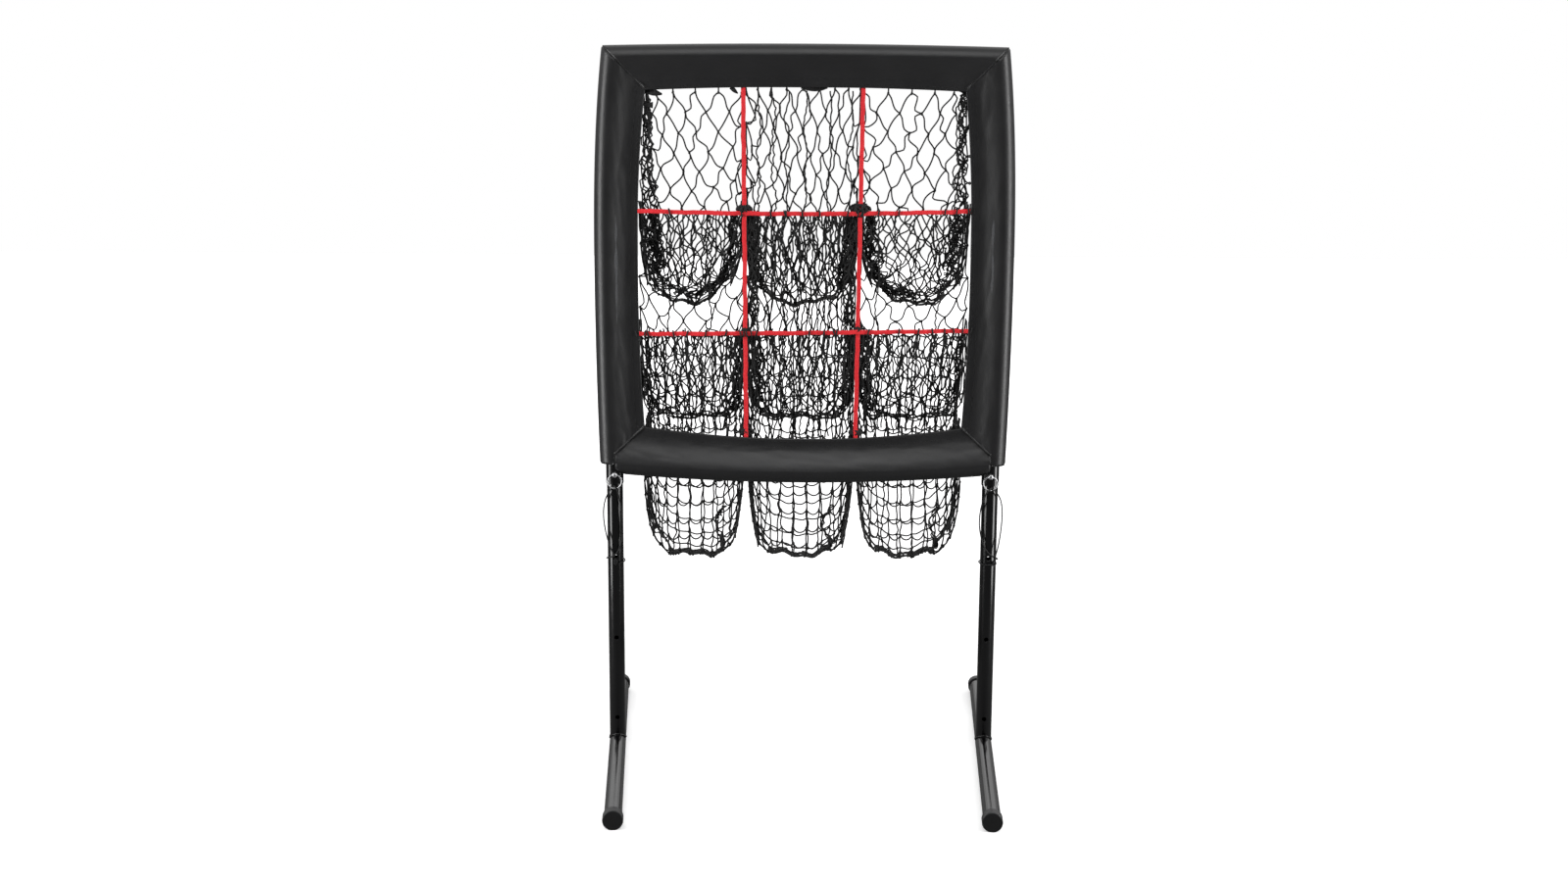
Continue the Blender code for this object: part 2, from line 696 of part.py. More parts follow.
def straps(parent, webbing):
    depth = (STRAP_THICKNESS + STRAP_GAP) / 2
    for side, name in ((-1, "left"), (1, "right")):
        middle = strap_x(side, (top_hem(0.0) + bottom_hem(0.0)) / 2)
        low = bottom_hem(middle) + FIT_GAP * 2
        high = top_hem(middle) - FIT_GAP * 2
        points = [(strap_x(side, z), z) for z in spaced(low, high, STRAP_STATIONS)]
        strap(name + "_strap", points, parent, webbing, "upright", depth)
    for name, left_z, right_z, sag in (
        ("upper", UPPER_STRAP_LEFT_Z, UPPER_STRAP_RIGHT_Z, UPPER_STRAP_SAG),
        ("lower", LOWER_STRAP_LEFT_Z, LOWER_STRAP_RIGHT_Z, LOWER_STRAP_SAG),
    ):
        end = side_hem((left_z + right_z) / 2) - FIT_GAP * 4
        points = [
            (x, level_strap_z(x, left_z, right_z, sag)) for x in spaced(-end, end, STRAP_STATIONS + 1)
        ]
        strap(name + "_strap", points, parent, webbing, "level", -depth)


def slot_loop(x0, x1, near, far, corner, inset):
    """A rounded rectangle across X between two points (y, z) of the YZ plane, drawn in by inset."""
    near, far = Vector(near), Vector(far)
    along = (far - near).normalized()
    near = near + along * inset
    far = far - along * inset
    x0, x1 = x0 + inset, x1 - inset
    length = (far - near).length
    radius = min(corner, 0.45 * length, 0.45 * (x1 - x0))
    points = []
    for cx, cd, start in (
        (x1 - radius, radius, -90.0),
        (x1 - radius, length - radius, 0.0),
        (x0 + radius, length - radius, 90.0),
        (x0 + radius, radius, 180.0),
    ):
        for step in (0.0, 45.0, 90.0):
            angle = math.radians(start + step)
            x = cx + radius * math.cos(angle)
            at = near + along * (cd + radius * math.sin(angle))
            points.append((x, POST_Y + at.x, at.y))
    return points


def pocket(name, x0, x1, top, bottom, foot_z, tapers, spread, parent, net):
    """A net pocket: a mouth behind its hole, a back wall that leans away, and a bag below.

    The bag's two sides draw in by its tapers. A bag whose spread is not None hangs behind the
    bottom sleeve, and bellies out sideways by its two values.
    """
    height = top - bottom
    edge = NET_CLEARANCE / 2
    mouth = STRAP_THICKNESS + STRAP_GAP / 2 + edge
    lip = mouth + NET_WALL + NET_CLEARANCE
    behind_sleeve = SLEEVE_R + NET_BEHIND_SLEEVE
    throat = bottom - (behind_sleeve - lip) / NET_SLOPE
    left_taper, right_taper = tapers
    left_spread, right_spread = spread or (0.0, 0.0)

    def walls(z):
        front = lip + NET_SLOPE * max(bottom - z, 0.0)
        back = mouth + NET_WALL + NET_SLOPE * (top - edge - z)
        if spread:
            return min(front, behind_sleeve), min(back, behind_sleeve + NET_BOTTOM_DEPTH)
        return front, back

    def row(near, far, left, right):
        return x0 + left, x1 - right, near, far

    middle, low = bottom + 0.6 * height, bottom + 0.25 * height
    rows = [
        row((mouth, bottom + edge), (mouth, top - edge), 0.0, 0.0),
        row((lip - edge, bottom + edge), (walls(middle)[1], middle), 0.0, 0.0),
        row((lip, bottom), (walls(low)[1], low), 0.0, 0.0),
    ]
    for z in spaced(throat, foot_z + NET_FOOT_ROUND, 5):
        share = (throat - z) / (throat - foot_z)
        belly = 4 * share * (1 - share)
        left = left_taper * share**2 - left_spread * belly
        right = right_taper * share**2 - right_spread * belly
        near, far = walls(z)
        rows.append(row((near, z), (far, z), left, right))
    near, far = walls(foot_z)
    for inward, up in ((0.2, 0.3), (0.6, 0.0)):
        inward, up = inward * NET_FOOT_ROUND, up * NET_FOOT_ROUND
        left, right = left_taper + inward, right_taper + inward
        rows.append(row((near + inward, foot_z + up), (far - inward, foot_z + up), left, right))
    outer = [slot_loop(*spot, NET_CORNER_R, 0.0) for spot in rows]
    inner = [slot_loop(*spot, NET_CORNER_R, NET_WALL) for spot in rows[:-1]]
    outer.reverse()
    inner.reverse()
    piece(name, cup(outer, inner), net, parent)


def pockets(parent, net):
    upper = (UPPER_STRAP_LEFT_Z + UPPER_STRAP_RIGHT_Z) / 2 - UPPER_STRAP_SAG / 2
    lower = (LOWER_STRAP_LEFT_Z + LOWER_STRAP_RIGHT_Z) / 2 - LOWER_STRAP_SAG / 2
    highest, lowest = top_hem(0.0), bottom_hem(0.0)
    for row, top, bottom in (("top", highest, upper), ("middle", upper, lower), ("bottom", lower, lowest)):
        middle = (top + bottom) / 2
        edge = side_hem(middle) - NET_CLEARANCE
        left = strap_x(-1, middle)
        right = strap_x(1, middle)
        gap = NET_CLEARANCE / 2
        even = (NET_TAPER, NET_TAPER)
        outward = (TOP_NET_OUTER_TAPER, TOP_NET_INNER_TAPER) if row == "top" else even
        columns = (
            ("left", -edge, left - gap, -edge, outward, (NET_SPREAD, 0.0)),
            ("centre", left + gap, right - gap, right, even, (0.0, 0.0)),
            ("right", right + gap, edge, edge, outward[::-1], (0.0, NET_SPREAD)),
        )
        for column, x0, x1, far, tapers, spread in columns:
            name = f"{row}_{column}_pocket"
            # The hems of the top and bottom sleeves are nearest the hole at its far corner.
            above = min(top, top_hem(far))
            if row == "bottom":
                foot_z = bottom_hem(edge) - NET_DROP_BOTTOM
                pocket(name, x0, x1, above, bottom_hem(far), foot_z, tapers, spread, parent, net)
            else:
                pocket(name, x0, x1, above, bottom, bottom - NET_DROP, tapers, None, parent, net)


def smooth_route(points, step):
    """Points at an even step on a Catmull-Rom curve through the route's own points."""
    points = [Vector(p) for p in points]
    ends = [points[0] * 2 - points[1]] + points + [points[-1] * 2 - points[-2]]
    fine = []
    for a, b, c, d in zip(ends, ends[1:], ends[2:], ends[3:]):
        for i in range(20):
            t = i / 20
            fine.append(
                b
                + (c - a) * 0.5 * t
                + (2 * a - 5 * b + 4 * c - d) * 0.5 * t**2
                + (3 * b - a - 3 * c + d) * 0.5 * t**3
            )
    fine.append(points[-1])
    total = sum((q - p).length for p, q in zip(fine, fine[1:]))
    count = max(2, round(total / step))
    out, walked, want = [fine[0]], 0.0, total / count
    for p, q in zip(fine, fine[1:]):
        length = (q - p).length
        while walked + length >= want and len(out) < count:
            out.append(p.lerp(q, (want - walked) / length))
            want += total / count
        walked += length
    out.append(fine[-1])
    return out


# The lanyards' routes, from the knot, round the back of the leg, up one side, through the ring
# and down the other side to the knot. X and Y are from the leg's axis, Z from the floor.
LEFT_ROUTE = (
    (0.0056, -0.0185, 0.3700),
    (0.0135, -0.0120, 0.3705),
    (0.0172, 0.0000, 0.3715),
    (0.0122, 0.0122, 0.3725),
    (0.0000, 0.0170, 0.3735),
    (-0.0122, 0.0122, 0.3745),
    (-0.0172, 0.0000, 0.3760),
    (-0.0135, -0.0125, 0.3790),
    (-0.0040, -0.0190, 0.3840),
    (0.0060, -0.0190, 0.3960),
    (0.0130, -0.0165, 0.4200),
    (0.0140, -0.0165, 0.4480),
    (0.0110, -0.0200, 0.4800),
    (0.0050, -0.0275, 0.5080),
    (0.0010, -0.0270, 0.5165),
    (-0.0020, -0.0185, 0.5165),
    (-0.0095, -0.0180, 0.5080),
    (-0.0175, -0.0150, 0.4920),
    (-0.0215, -0.0110, 0.4700),
    (-0.0205, -0.0120, 0.4450),
    (-0.0150, -0.0165, 0.4180),
    (-0.0080, -0.0205, 0.3980),
    (-0.0020, -0.0228, 0.3830),
)
RIGHT_ROUTE = (
    (0.0059, -0.0162, 0.3700),
    (-0.0030, -0.0170, 0.3700),
    (-0.0122, -0.0122, 0.3705),
    (-0.0172, 0.0000, 0.3715),
    (-0.0122, 0.0122, 0.3725),
    (0.0000, 0.0170, 0.3735),
    (0.0122, 0.0122, 0.3750),
    (0.0174, 0.0010, 0.3775),
    (0.0158, -0.0100, 0.3815),
    (0.0095, -0.0165, 0.3855),
    (0.0000, -0.0195, 0.3930),
    (-0.0090, -0.0180, 0.4060),
    (-0.0155, -0.0150, 0.4260),
    (-0.0185, -0.0120, 0.4500),
    (-0.0160, -0.0160, 0.4800),
    (-0.0080, -0.0265, 0.5070),
    (-0.0010, -0.0270, 0.5165),
    (0.0030, -0.0185, 0.5165),
    (0.0120, -0.0175, 0.5080),
    (0.0200, -0.0130, 0.4930),
    (0.0235, -0.0100, 0.4700),
    (0.0225, -0.0120, 0.4430),
    (0.0190, -0.0155, 0.4150),
    (0.0155, -0.0180, 0.3980),
    (0.0130, -0.0185, 0.3885),
    (0.0125, -0.0180, 0.3815),
)


def lanyard(name, route, parent, cord):
    """A cord on its route, and the knot on the leg's front that both its ends enter."""
    curve = bpy.data.curves.new(name + "_lanyard", "CURVE")
    curve.dimensions = "3D"
    curve.bevel_depth = CORD_D / 2
    curve.bevel_resolution = 2
    curve.use_fill_caps = True
    points = smooth_route(route, CORD_POINT_STEP)
    spline = curve.splines.new("POLY")
    spline.points.add(len(points) - 1)
    for spot, point in zip(spline.points, points):
        spot.co = (*point, 1.0)
    curve.materials.append(cord)
    made = bpy.data.objects.new(name + "_lanyard", curve)
    made.parent = parent
    bpy.context.scene.collection.objects.link(made)
    bm = bmesh.new()
    bmesh.ops.create_uvsphere(bm, u_segments=14, v_segments=9, radius=0.5)
    size = Matrix.Diagonal((KNOT_WIDTH, KNOT_DEPTH, KNOT_HEIGHT, 1.0))
    turn = Matrix.Rotation(KNOT_TURN[name], 4, "Z")
    middle = turn @ Vector((0.0, -(LEG_OD / 2 + FIT_GAP + KNOT_DEPTH / 2), KNOT_Z))
    bmesh.ops.transform(bm, matrix=Matrix.Translation(middle) @ turn @ size, verts=bm.verts)
    piece(name + "_lanyard_knot", bm, cord, parent, middle)


def main():
    for old in list(bpy.data.objects):
        bpy.data.objects.remove(old, do_unlink=True)

    painted = material("gloss_black_steel", (0.010, 0.010, 0.011), 0.22)
    cast = material("black_elbow", (0.012, 0.012, 0.012), 0.45)
    plastic = material("black_cap_plastic", (0.018, 0.018, 0.018), 0.55)
    steel = material("zinc_plated_steel", (0.62, 0.62, 0.63), 0.28, 1.0)
    fabric = material("black_vinyl_fabric", (0.030, 0.030, 0.031), 0.42)
    foam = material("grey_foam", (0.10, 0.10, 0.105), 0.95)
    webbing = material("red_webbing", (0.75, 0.02, 0.03), 0.65)
    net = material("black_net_cord", (0.012, 0.012, 0.013), 0.75)
    cord = material("black_lanyard_cord", (0.012, 0.012, 0.012), 0.70)

    base = empty("base", (0.0, 0.0, 0.0))
    frame = empty("frame", (0.0, 0.0, 0.0))
    routes = {"left": LEFT_ROUTE, "right": RIGHT_ROUTE}
    for name, side in (("left", -1), ("right", 1)):
        # A front end that points inwards turns the left foot against the clock, seen from above.
        axis = empty(name + "_leg_axis", (side * LEG_X, POST_Y, 0.0), -side * TOE_IN)
        axis.parent = base
        foot(name, side, axis, painted, plastic)
        leg(name, axis, painted)
        lanyard(name, routes[name], axis, cord)
        pin(name, axis, steel)
        ring(name, axis, steel)
        upright(name, side, frame, axis, painted)
        corner_elbow(name, side, frame, cast)
        tee_stub(name, side, frame, painted)
        side_sleeve(name, side, frame, fabric)
        pad_top = RAIL_CORNER_Z - ELBOW_REACH - PAD_END_GAP
        heights = spaced(PAD_SIDE_BOTTOM_Z, UPRIGHT_STRAIGHT_Z, 6)
        heights += spaced(UPRIGHT_STRAIGHT_Z, pad_top, TUBE_BEND_STATIONS)[1:]
        outer, inner = pad_loops(side_path, side_band, upright_path, heights, UPRIGHT_OD)
        pad = pipe(mirrored(outer, side), mirrored(inner, side))
        piece(name + "_padding", pad, foam, frame)

    top_half = RAIL_CORNER_X - ELBOW_REACH
    bottom_half = LEG_X - UPRIGHT_OD / 2 - RAIL_OD / 2 - BOTTOM_RAIL_END_GAP
    rail("top_rail", top_rail_path, top_half, frame, painted)
    rail("bottom_rail", bottom_rail_path, bottom_half, frame, painted)
    for name, path, band, half in (
        ("top_padding", turned(top_rail_path), top_band, top_half - PAD_END_GAP),
        ("bottom_padding", bottom_rail_path, bottom_band, bottom_half - PAD_END_GAP),
    ):
        outer, inner = pad_loops(path, band, path, spaced(-half, half, RAIL_STATIONS), RAIL_OD)
        piece(name, pipe(outer, inner), foam, frame)
    top_sleeve(frame, fabric)
    bottom_sleeve(frame, fabric)
    straps(frame, webbing)
    pockets(frame, net)


main()
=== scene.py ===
"""Looks of a baseball pitching net: sewn sleeves, red webbing, knotted net pockets, pins and cords.

Metres, +Z up, the front faces -Y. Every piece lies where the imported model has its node.
"""
import math

import bmesh
import bpy
import numpy as np
from mathutils import Matrix, Vector


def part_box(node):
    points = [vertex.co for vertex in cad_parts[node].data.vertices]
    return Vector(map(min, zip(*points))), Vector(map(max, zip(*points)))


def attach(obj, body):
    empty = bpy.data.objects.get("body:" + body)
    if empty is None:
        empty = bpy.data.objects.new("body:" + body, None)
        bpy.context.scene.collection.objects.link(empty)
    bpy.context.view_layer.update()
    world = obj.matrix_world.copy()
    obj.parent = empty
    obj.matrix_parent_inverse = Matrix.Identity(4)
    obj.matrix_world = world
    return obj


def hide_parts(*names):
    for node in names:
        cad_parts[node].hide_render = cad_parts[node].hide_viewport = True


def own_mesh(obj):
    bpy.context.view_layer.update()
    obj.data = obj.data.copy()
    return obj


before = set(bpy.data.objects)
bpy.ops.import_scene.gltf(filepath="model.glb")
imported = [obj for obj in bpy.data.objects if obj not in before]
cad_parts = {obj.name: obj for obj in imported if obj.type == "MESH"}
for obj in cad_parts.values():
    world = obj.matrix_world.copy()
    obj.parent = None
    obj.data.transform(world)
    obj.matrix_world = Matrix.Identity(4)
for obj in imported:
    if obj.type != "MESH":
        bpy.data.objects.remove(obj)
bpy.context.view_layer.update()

bl_info = {
    "name": "Baseball Pitching Net",
    "version": (1, 0, 0),
    "blender": (4, 5, 0),
    "location": "View3D > Sidebar > Pitching Net",
    "description": "Builds the visible pieces of a nine-hole pitching net on its frame",
    "category": "Object",
}

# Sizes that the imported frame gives
LEG_LOW, LEG_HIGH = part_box("right_leg")
POST_Y = (LEG_LOW.y + LEG_HIGH.y) / 2
LEG_X = (LEG_LOW.x + LEG_HIGH.x) / 2
LEG_R = (LEG_HIGH.x - LEG_LOW.x) / 2
PIN_Z = (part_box("right_pin")[0].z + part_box("right_pin")[1].z) / 2

TOE_IN = math.radians(4.2)
UPRIGHT_R = 0.0165
FOOT_R = 0.0155
FOOT_Z = 0.0175

# The frame's outline, at the outside of the sleeves
CORNER_Z = 1.318
CORNER_X = LEG_X + 0.0148
SIDE_X_MAX = LEG_X + 0.0330
SIDE_X_MAX_Z = CORNER_Z - 0.398
SIDE_BOW_POWER = 2.5
SIDE_X_END = LEG_X + 0.0270
SIDE_END_Z = 0.5587
TOP_RISE = 0.0046
BOTTOM_EDGE_END_Z = 0.5375
BOTTOM_EDGE_END_X = LEG_X - 0.0055
BOTTOM_BOW = 0.015
SEAM_X = LEG_X - 0.001
SEAM_Z = 0.5767
SLEEVE_R = 0.0225
SLEEVE_WALL = 0.0012
POST_HOLE_R = UPRIGHT_R + 0.0015
SEAM_GAP = 0.0015

# Where the nets hang, as offsets in Y from the frame's middle plane
NET_MOUTH = 0.00395
NET_WALL = 0.003
NET_LIP = 0.01095
NET_SLOPE = 0.44
NET_BEHIND = 0.0285
NET_BOTTOM_DEPTH = 0.080
NET_FOOT_ROUND = 0.030
NET_FEET_Z = (0.8379, 0.6186, 0.3626)
BAG_SPLIT_Z = 0.606

STRAP_WIDTH = 0.008
STRAP_THICKNESS = 0.0015
STRAP_DEPTH = 0.0012
CORD_D = 0.0025

# The net's cords lie this far inside its pocket's surface.
NET_INSET = 0.0016
# Net cord and thread are five-sided tubes.
CORD_SIDES = 5
# So many points run along a sleeve from seam to seam.
SLEEVE_STATIONS = 110
# So much is left free between parts that fit together.
FIT_GAP = 0.0006

# The camera that the photograph's perspective gives, its angles in degrees
CAMERA_PLACE = (-0.0350, POST_Y - 3.143, 1.155)
CAMERA_LENS = 39.375
CAMERA_PITCH = 80.0
CAMERA_ROLL = 0.32

SIDES = (("left", -1), ("right", 1))


# Helpers


def linear(hex_colour):
    """An sRGB hex colour as linear RGBA."""
    parts = [int(hex_colour[i:i + 2], 16) / 255 for i in (1, 3, 5)]
    return (*[c / 12.92 if c <= 0.04045 else ((c + 0.055) / 1.055) ** 2.4 for c in parts], 1.0)


def add_node(tree, kind, inputs=None, output=None, **settings):
    """Add one shader node with its settings, set or link its inputs, and return its named output."""
    made = tree.nodes.new("ShaderNode" + kind)
    for name, value in settings.items():
        setattr(made, name, value)
    for name, value in (inputs or {}).items():
        if isinstance(value, bpy.types.NodeSocket):
            tree.links.new(value, made.inputs[name])
        else:
            made.inputs[name].default_value = value
    return made.outputs[output] if output else made


def start_material(name, roughness, **sockets):
    """A material with its shader, and the surface position in metres."""
    made = bpy.data.materials.get(name) or bpy.data.materials.new(name)
    made.use_nodes = True
    tree = made.node_tree
    tree.nodes.clear()
    shader = add_node(tree, "BsdfPrincipled", {"Roughness": roughness})
    for socket, value in sockets.items():
        shader.inputs[socket.replace("_", " ")].default_value = value
    add_node(tree, "OutputMaterial", {"Surface": shader.outputs["BSDF"]})
    return made, tree, shader, add_node(tree, "TexCoord", output="Object")


def drive_surface(tree, shader, colour, roughness=None, relief=()):
    """Link patterns to a shader. colour and roughness are (pattern, low, high), and relief lists
    (pattern, height, strength) from the finest bump to the coarsest."""
    pattern, low, high = colour
    mix = {"Factor": pattern, "A": linear(low), "B": linear(high)}
    tree.links.new(add_node(tree, "Mix", mix, "Result", data_type="RGBA"), shader.inputs["Base Color"])
    if roughness:
        pattern, low, high = roughness
        ramp = {"Value": pattern, "From Min": 0.3, "From Max": 0.7, "To Min": low, "To Max": high}
        tree.links.new(add_node(tree, "MapRange", ramp, "Result"), shader.inputs["Roughness"])
    normal = None
    for pattern, height, strength in relief:
        bump = {"Height": pattern, "Distance": height, "Strength": strength}
        if normal:
            bump["Normal"] = normal
        normal = add_node(tree, "Bump", bump, "Normal")
    if normal:
        tree.links.new(normal, shader.inputs["Normal"])


def wave_scale(pitch):
    """The wave texture's scale for bands that lie pitch metres apart."""
    return 1 / pitch / 20 * math.pi


def new_piece(name, build, material, stands_for=None, body="frame", sharp=None):
    """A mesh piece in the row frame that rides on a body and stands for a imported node."""
    mesh = bpy.data.meshes.new(name)
    mesh.from_pydata([tuple(p) for p in build.points], [], build.faces)
    mesh.validate()
    bm = bmesh.new()
    bm.from_mesh(mesh)
    bmesh.ops.recalc_face_normals(bm, faces=bm.faces)
    bm.to_mesh(mesh)
    bm.free()
    mesh.materials.append(material)
    mesh.shade_smooth()
    if sharp is not None:
        mesh.set_sharp_from_angle(angle=math.radians(sharp))
    made = bpy.data.objects.new(name, mesh)
    bpy.context.scene.collection.objects.link(made)
    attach(made, body)
    if stands_for:
        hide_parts(stands_for)
    return made


class Build:
    """Points and faces that are gathered for one mesh."""

    def __init__(self):
        self.points = []
        self.faces = []

    def skin(self, rings, closed=True, ends=True, loop=False):
        """A skin over rings of equal counts. ends closes it, loop joins its last ring to its first."""
        base, n = len(self.points), len(rings[0])
        for ring in rings:
            self.points.extend(ring)
        rows = len(rings) if loop else len(rings) - 1
        for j in range(rows):
            a, b = base + j * n, base + (j + 1) % len(rings) * n
            for i in range(n if closed else n - 1):
                k = (i + 1) % n
                self.faces.append((a + i, a + k, b + k, b + i))
        if ends and not loop:
            self.faces.append(tuple(base + i for i in reversed(range(n))))
            self.faces.append(tuple(base + (len(rings) - 1) * n + i for i in range(n)))

    def tube(self, path, radius, sides=CORD_SIDES, loop=False):
        """A round tube along a path of points, with a frame carried along it without twist."""
        path = np.asarray(path, float)
        if loop:
            along = np.roll(path, -1, 0) - np.roll(path, 1, 0)
        else:
            along = np.gradient(path, axis=0)
        along /= np.maximum(np.linalg.norm(along, axis=1, keepdims=True), 1e-9)
        first = np.empty_like(along)
        guide = np.eye(3)[np.argmin(np.abs(along[0]))]
        for k, way in enumerate(along):
            guide = guide - way * guide.dot(way)
            guide /= max(math.sqrt(guide.dot(guide)), 1e-9)
            first[k] = guide
        second = np.cross(along, first)
        radius = np.broadcast_to(np.asarray(radius, float), (len(path),))[:, None]
        angles = 2 * np.pi * np.arange(sides) / sides
        rings = np.stack(
            [path + radius * (first * math.cos(a) + second * math.sin(a)) for a in angles], 1
        )
        self.skin([list(ring) for ring in rings], True, not loop, loop)

    def mirror(self):
        """Swap left and right."""
        self.points = mirrored(self.points)


def mirrored(points):
    """The points with left and right swapped."""
    return [(-x, y, z) for x, y, z in points]


def walk(line):
    """How far along a line each of its points lies."""
    return np.concatenate([[0.0], np.cumsum(np.linalg.norm(np.diff(line, axis=0), axis=1))])


def smooth_path(points, per_span=3):
    """Points on a Catmull-Rom curve through the given ones."""
    p = np.asarray(points, float)
    p = np.vstack([2 * p[0] - p[1], p, 2 * p[-1] - p[-2]])
    out = []
    for a, b, c, d in zip(p, p[1:], p[2:], p[3:]):
        for i in range(per_span):
            t = i / per_span
            out.append(
                b
                + (c - a) * 0.5 * t
                + (2 * a - 5 * b + 4 * c - d) * 0.5 * t**2
                + (3 * b - a - 3 * c + d) * 0.5 * t**3
            )
    out.append(p[-2])
    return np.array(out)


def leg_place(side):
    """A function from the leg axis's own space (x, y, z) to the row frame."""
    turn = -side * TOE_IN
    cos, sin = math.cos(turn), math.sin(turn)

    def place(x, y, z):
        return (side * LEG_X + cos * x - sin * y, POST_Y + sin * x + cos * y, z)

    return place


# Finishes


def gloss_painted_steel():
    """Gloss powder coat on steel tube, sprayed and baked: near black, with a faint orange peel that
    breaks its reflections a little."""
    made, tree, shader, place = start_material("gloss_powder_coated_steel", 0.16)
    cloud = add_node(tree, "TexNoise", {"Vector": place, "Scale": 1 / 0.045, "Detail": 3.0}, "Fac")
    haze = add_node(tree, "TexNoise", {"Vector": place, "Scale": 1 / 0.02, "Detail": 4.0}, "Fac")
    peel = add_node(tree, "TexNoise", {"Vector": place, "Scale": 1 / 0.0016}, "Fac")  # 1.6 mm
    drive_surface(tree, shader, (cloud, "#040405", "#0a0a0b"), (haze, 0.13, 0.19), [(peel, 0.00003, 0.08)])
    return made


def moulded_cap_plastic():
    """Polyethylene end caps, injection moulded: dull black with a fine eroded texture."""
    made, tree, shader, place = start_material("moulded_black_polyethylene", 0.5)
    cloud = add_node(tree, "TexNoise", {"Vector": place, "Scale": 1 / 0.012, "Detail": 4.0}, "Fac")
    wear = add_node(tree, "TexNoise", {"Vector": place, "Scale": 1 / 0.004, "Detail": 3.0}, "Fac")
    # The mould's grain is finer than this. It is drawn at 0.7 mm so that it shows.
    grain = add_node(tree, "TexNoise", {"Vector": place, "Scale": 1 / 0.0007}, "Fac")
    drive_surface(tree, shader, (cloud, "#161617", "#1f1f20"), (wear, 0.42, 0.58), [(grain, 0.00012, 0.5)])
    return made


def cast_elbow_plastic():
    """Glass-filled nylon elbows, moulded: matte black with flow marks."""
    made, tree, shader, place = start_material("moulded_black_nylon", 0.45)
    flow = add_node(
        tree, "TexNoise", {"Vector": place, "Scale": 1 / 0.010, "Detail": 5.0, "Roughness": 0.6}, "Fac"
    )
    grain = add_node(tree, "TexNoise", {"Vector": place, "Scale": 1 / 0.0009}, "Fac")
    drive_surface(tree, shader, (flow, "#121213", "#1c1c1d"), (flow, 0.38, 0.55), [(grain, 0.00010, 0.4)])
    return made


def coated_vinyl():
    """PVC-coated polyester cloth: satin black, with the base cloth's threads just showing through
    the coat and soft cloudy handling marks."""
    made, tree, shader, place = start_material("pvc_coated_polyester", 0.40)
    cloud = add_node(
        tree, "TexNoise", {"Vector": place, "Scale": 1 / 0.060, "Detail": 4.0, "Roughness": 0.55}, "Fac"
    )
    # Threads of the base cloth, 1.1 mm apart. Real ones are 0.7 mm, too fine to show.
    wave = {"Vector": place, "Scale": wave_scale(0.0011), "Distortion": 0.4, "Detail": 1.0}
    warp, weft = (add_node(tree, "TexWave", wave, "Fac", bands_direction=way) for way in ("X", "Z"))
    threads = add_node(tree, "Math", {0: warp, 1: weft}, "Value", operation="MAXIMUM")
    dents = add_node(tree, "TexNoise", {"Vector": place, "Scale": 1 / 0.018, "Detail": 3.0}, "Fac")
    relief = [(threads, 0.00005, 0.25), (dents, 0.0009, 0.35)]
    drive_surface(tree, shader, (cloud, "#19191a", "#212122"), (cloud, 0.37, 0.43), relief)
    return made


def sewing_thread():
    """Bonded polyester thread: dull black, twisted in plies."""
    made, tree, shader, place = start_material("bonded_polyester_thread", 0.6)
    cloud = add_node(tree, "TexNoise", {"Vector": place, "Scale": 1 / 0.003}, "Fac")
    plies = add_node(tree, "TexNoise", {"Vector": place, "Scale": 1 / 0.0006}, "Fac")
    drive_surface(tree, shader, (cloud, "#060606", "#101011"), relief=[(plies, 0.0001, 0.5)])
    return made


def red_webbing(direction):
    """Polypropylene webbing: bright red, woven with ribs across its width and a slight sheen."""
    made, tree, shader, place = start_material(
        "woven_polypropylene_" + direction.lower(), 0.62, Sheen_Weight=0.25, Sheen_Roughness=0.4
    )
    # Weft ribs 1.2 mm apart along the strap, and warp ends 1.0 mm apart across it.
    along = {"Vector": place, "Scale": wave_scale(0.0012), "Distortion": 0.8, "Detail": 1.0}
    across = {"Vector": place, "Scale": wave_scale(0.0010), "Distortion": 0.3}
    ribs = add_node(tree, "TexWave", along, "Fac", bands_direction=direction)
    ends = add_node(tree, "TexWave", across, "Fac", bands_direction="X" if direction == "Z" else "Z")
    weave = add_node(tree, "Math", {0: ribs, 1: ends}, "Value", operation="MULTIPLY")
    cloud = add_node(tree, "TexNoise", {"Vector": place, "Scale": 1 / 0.008, "Detail": 4.0}, "Fac")
    tone = add_node(tree, "Math", {0: weave, 1: cloud}, "Value", operation="MULTIPLY")
    tone = add_node(tree, "MapRange", {"Value": tone, "From Max": 0.5}, "Result")
    drive_surface(tree, shader, (tone, "#dc1420", "#ff3640"), relief=[(weave, 0.00025, 0.6)])
    return made


def twisted_cord(name, low, high, lay):
    """Braided or twisted polyester cord: dull black, with the strands' lay across it."""
    made, tree, shader, place = start_material(name, 0.7, Sheen_Weight=0.04)
    wave = {"Vector": place, "Scale": wave_scale(lay), "Distortion": 2.0, "Detail": 2.0}
    strands = add_node(tree, "TexWave", wave, "Fac", bands_direction="DIAGONAL")
    drive_surface(tree, shader, (strands, low, high), relief=[(strands, 0.0002, 0.6)])
    return made


def plated_steel():
    """Zinc-plated steel, bright: pale grey metal with faint turning marks and small clouds."""
    made, tree, shader, place = start_material("bright_zinc_plated_steel", 0.26, Metallic=1.0)
    cloud = add_node(tree, "TexNoise", {"Vector": place, "Scale": 1 / 0.004, "Detail": 3.0}, "Fac")
    marks = add_node(tree, "TexNoise", {"Vector": place, "Scale": 1 / 0.0008}, "Fac")
    drive_surface(tree, shader, (cloud, "#c9cacc", "#e2e3e4"), (cloud, 0.30, 0.42), [(marks, 0.00004, 0.3)])
    return made


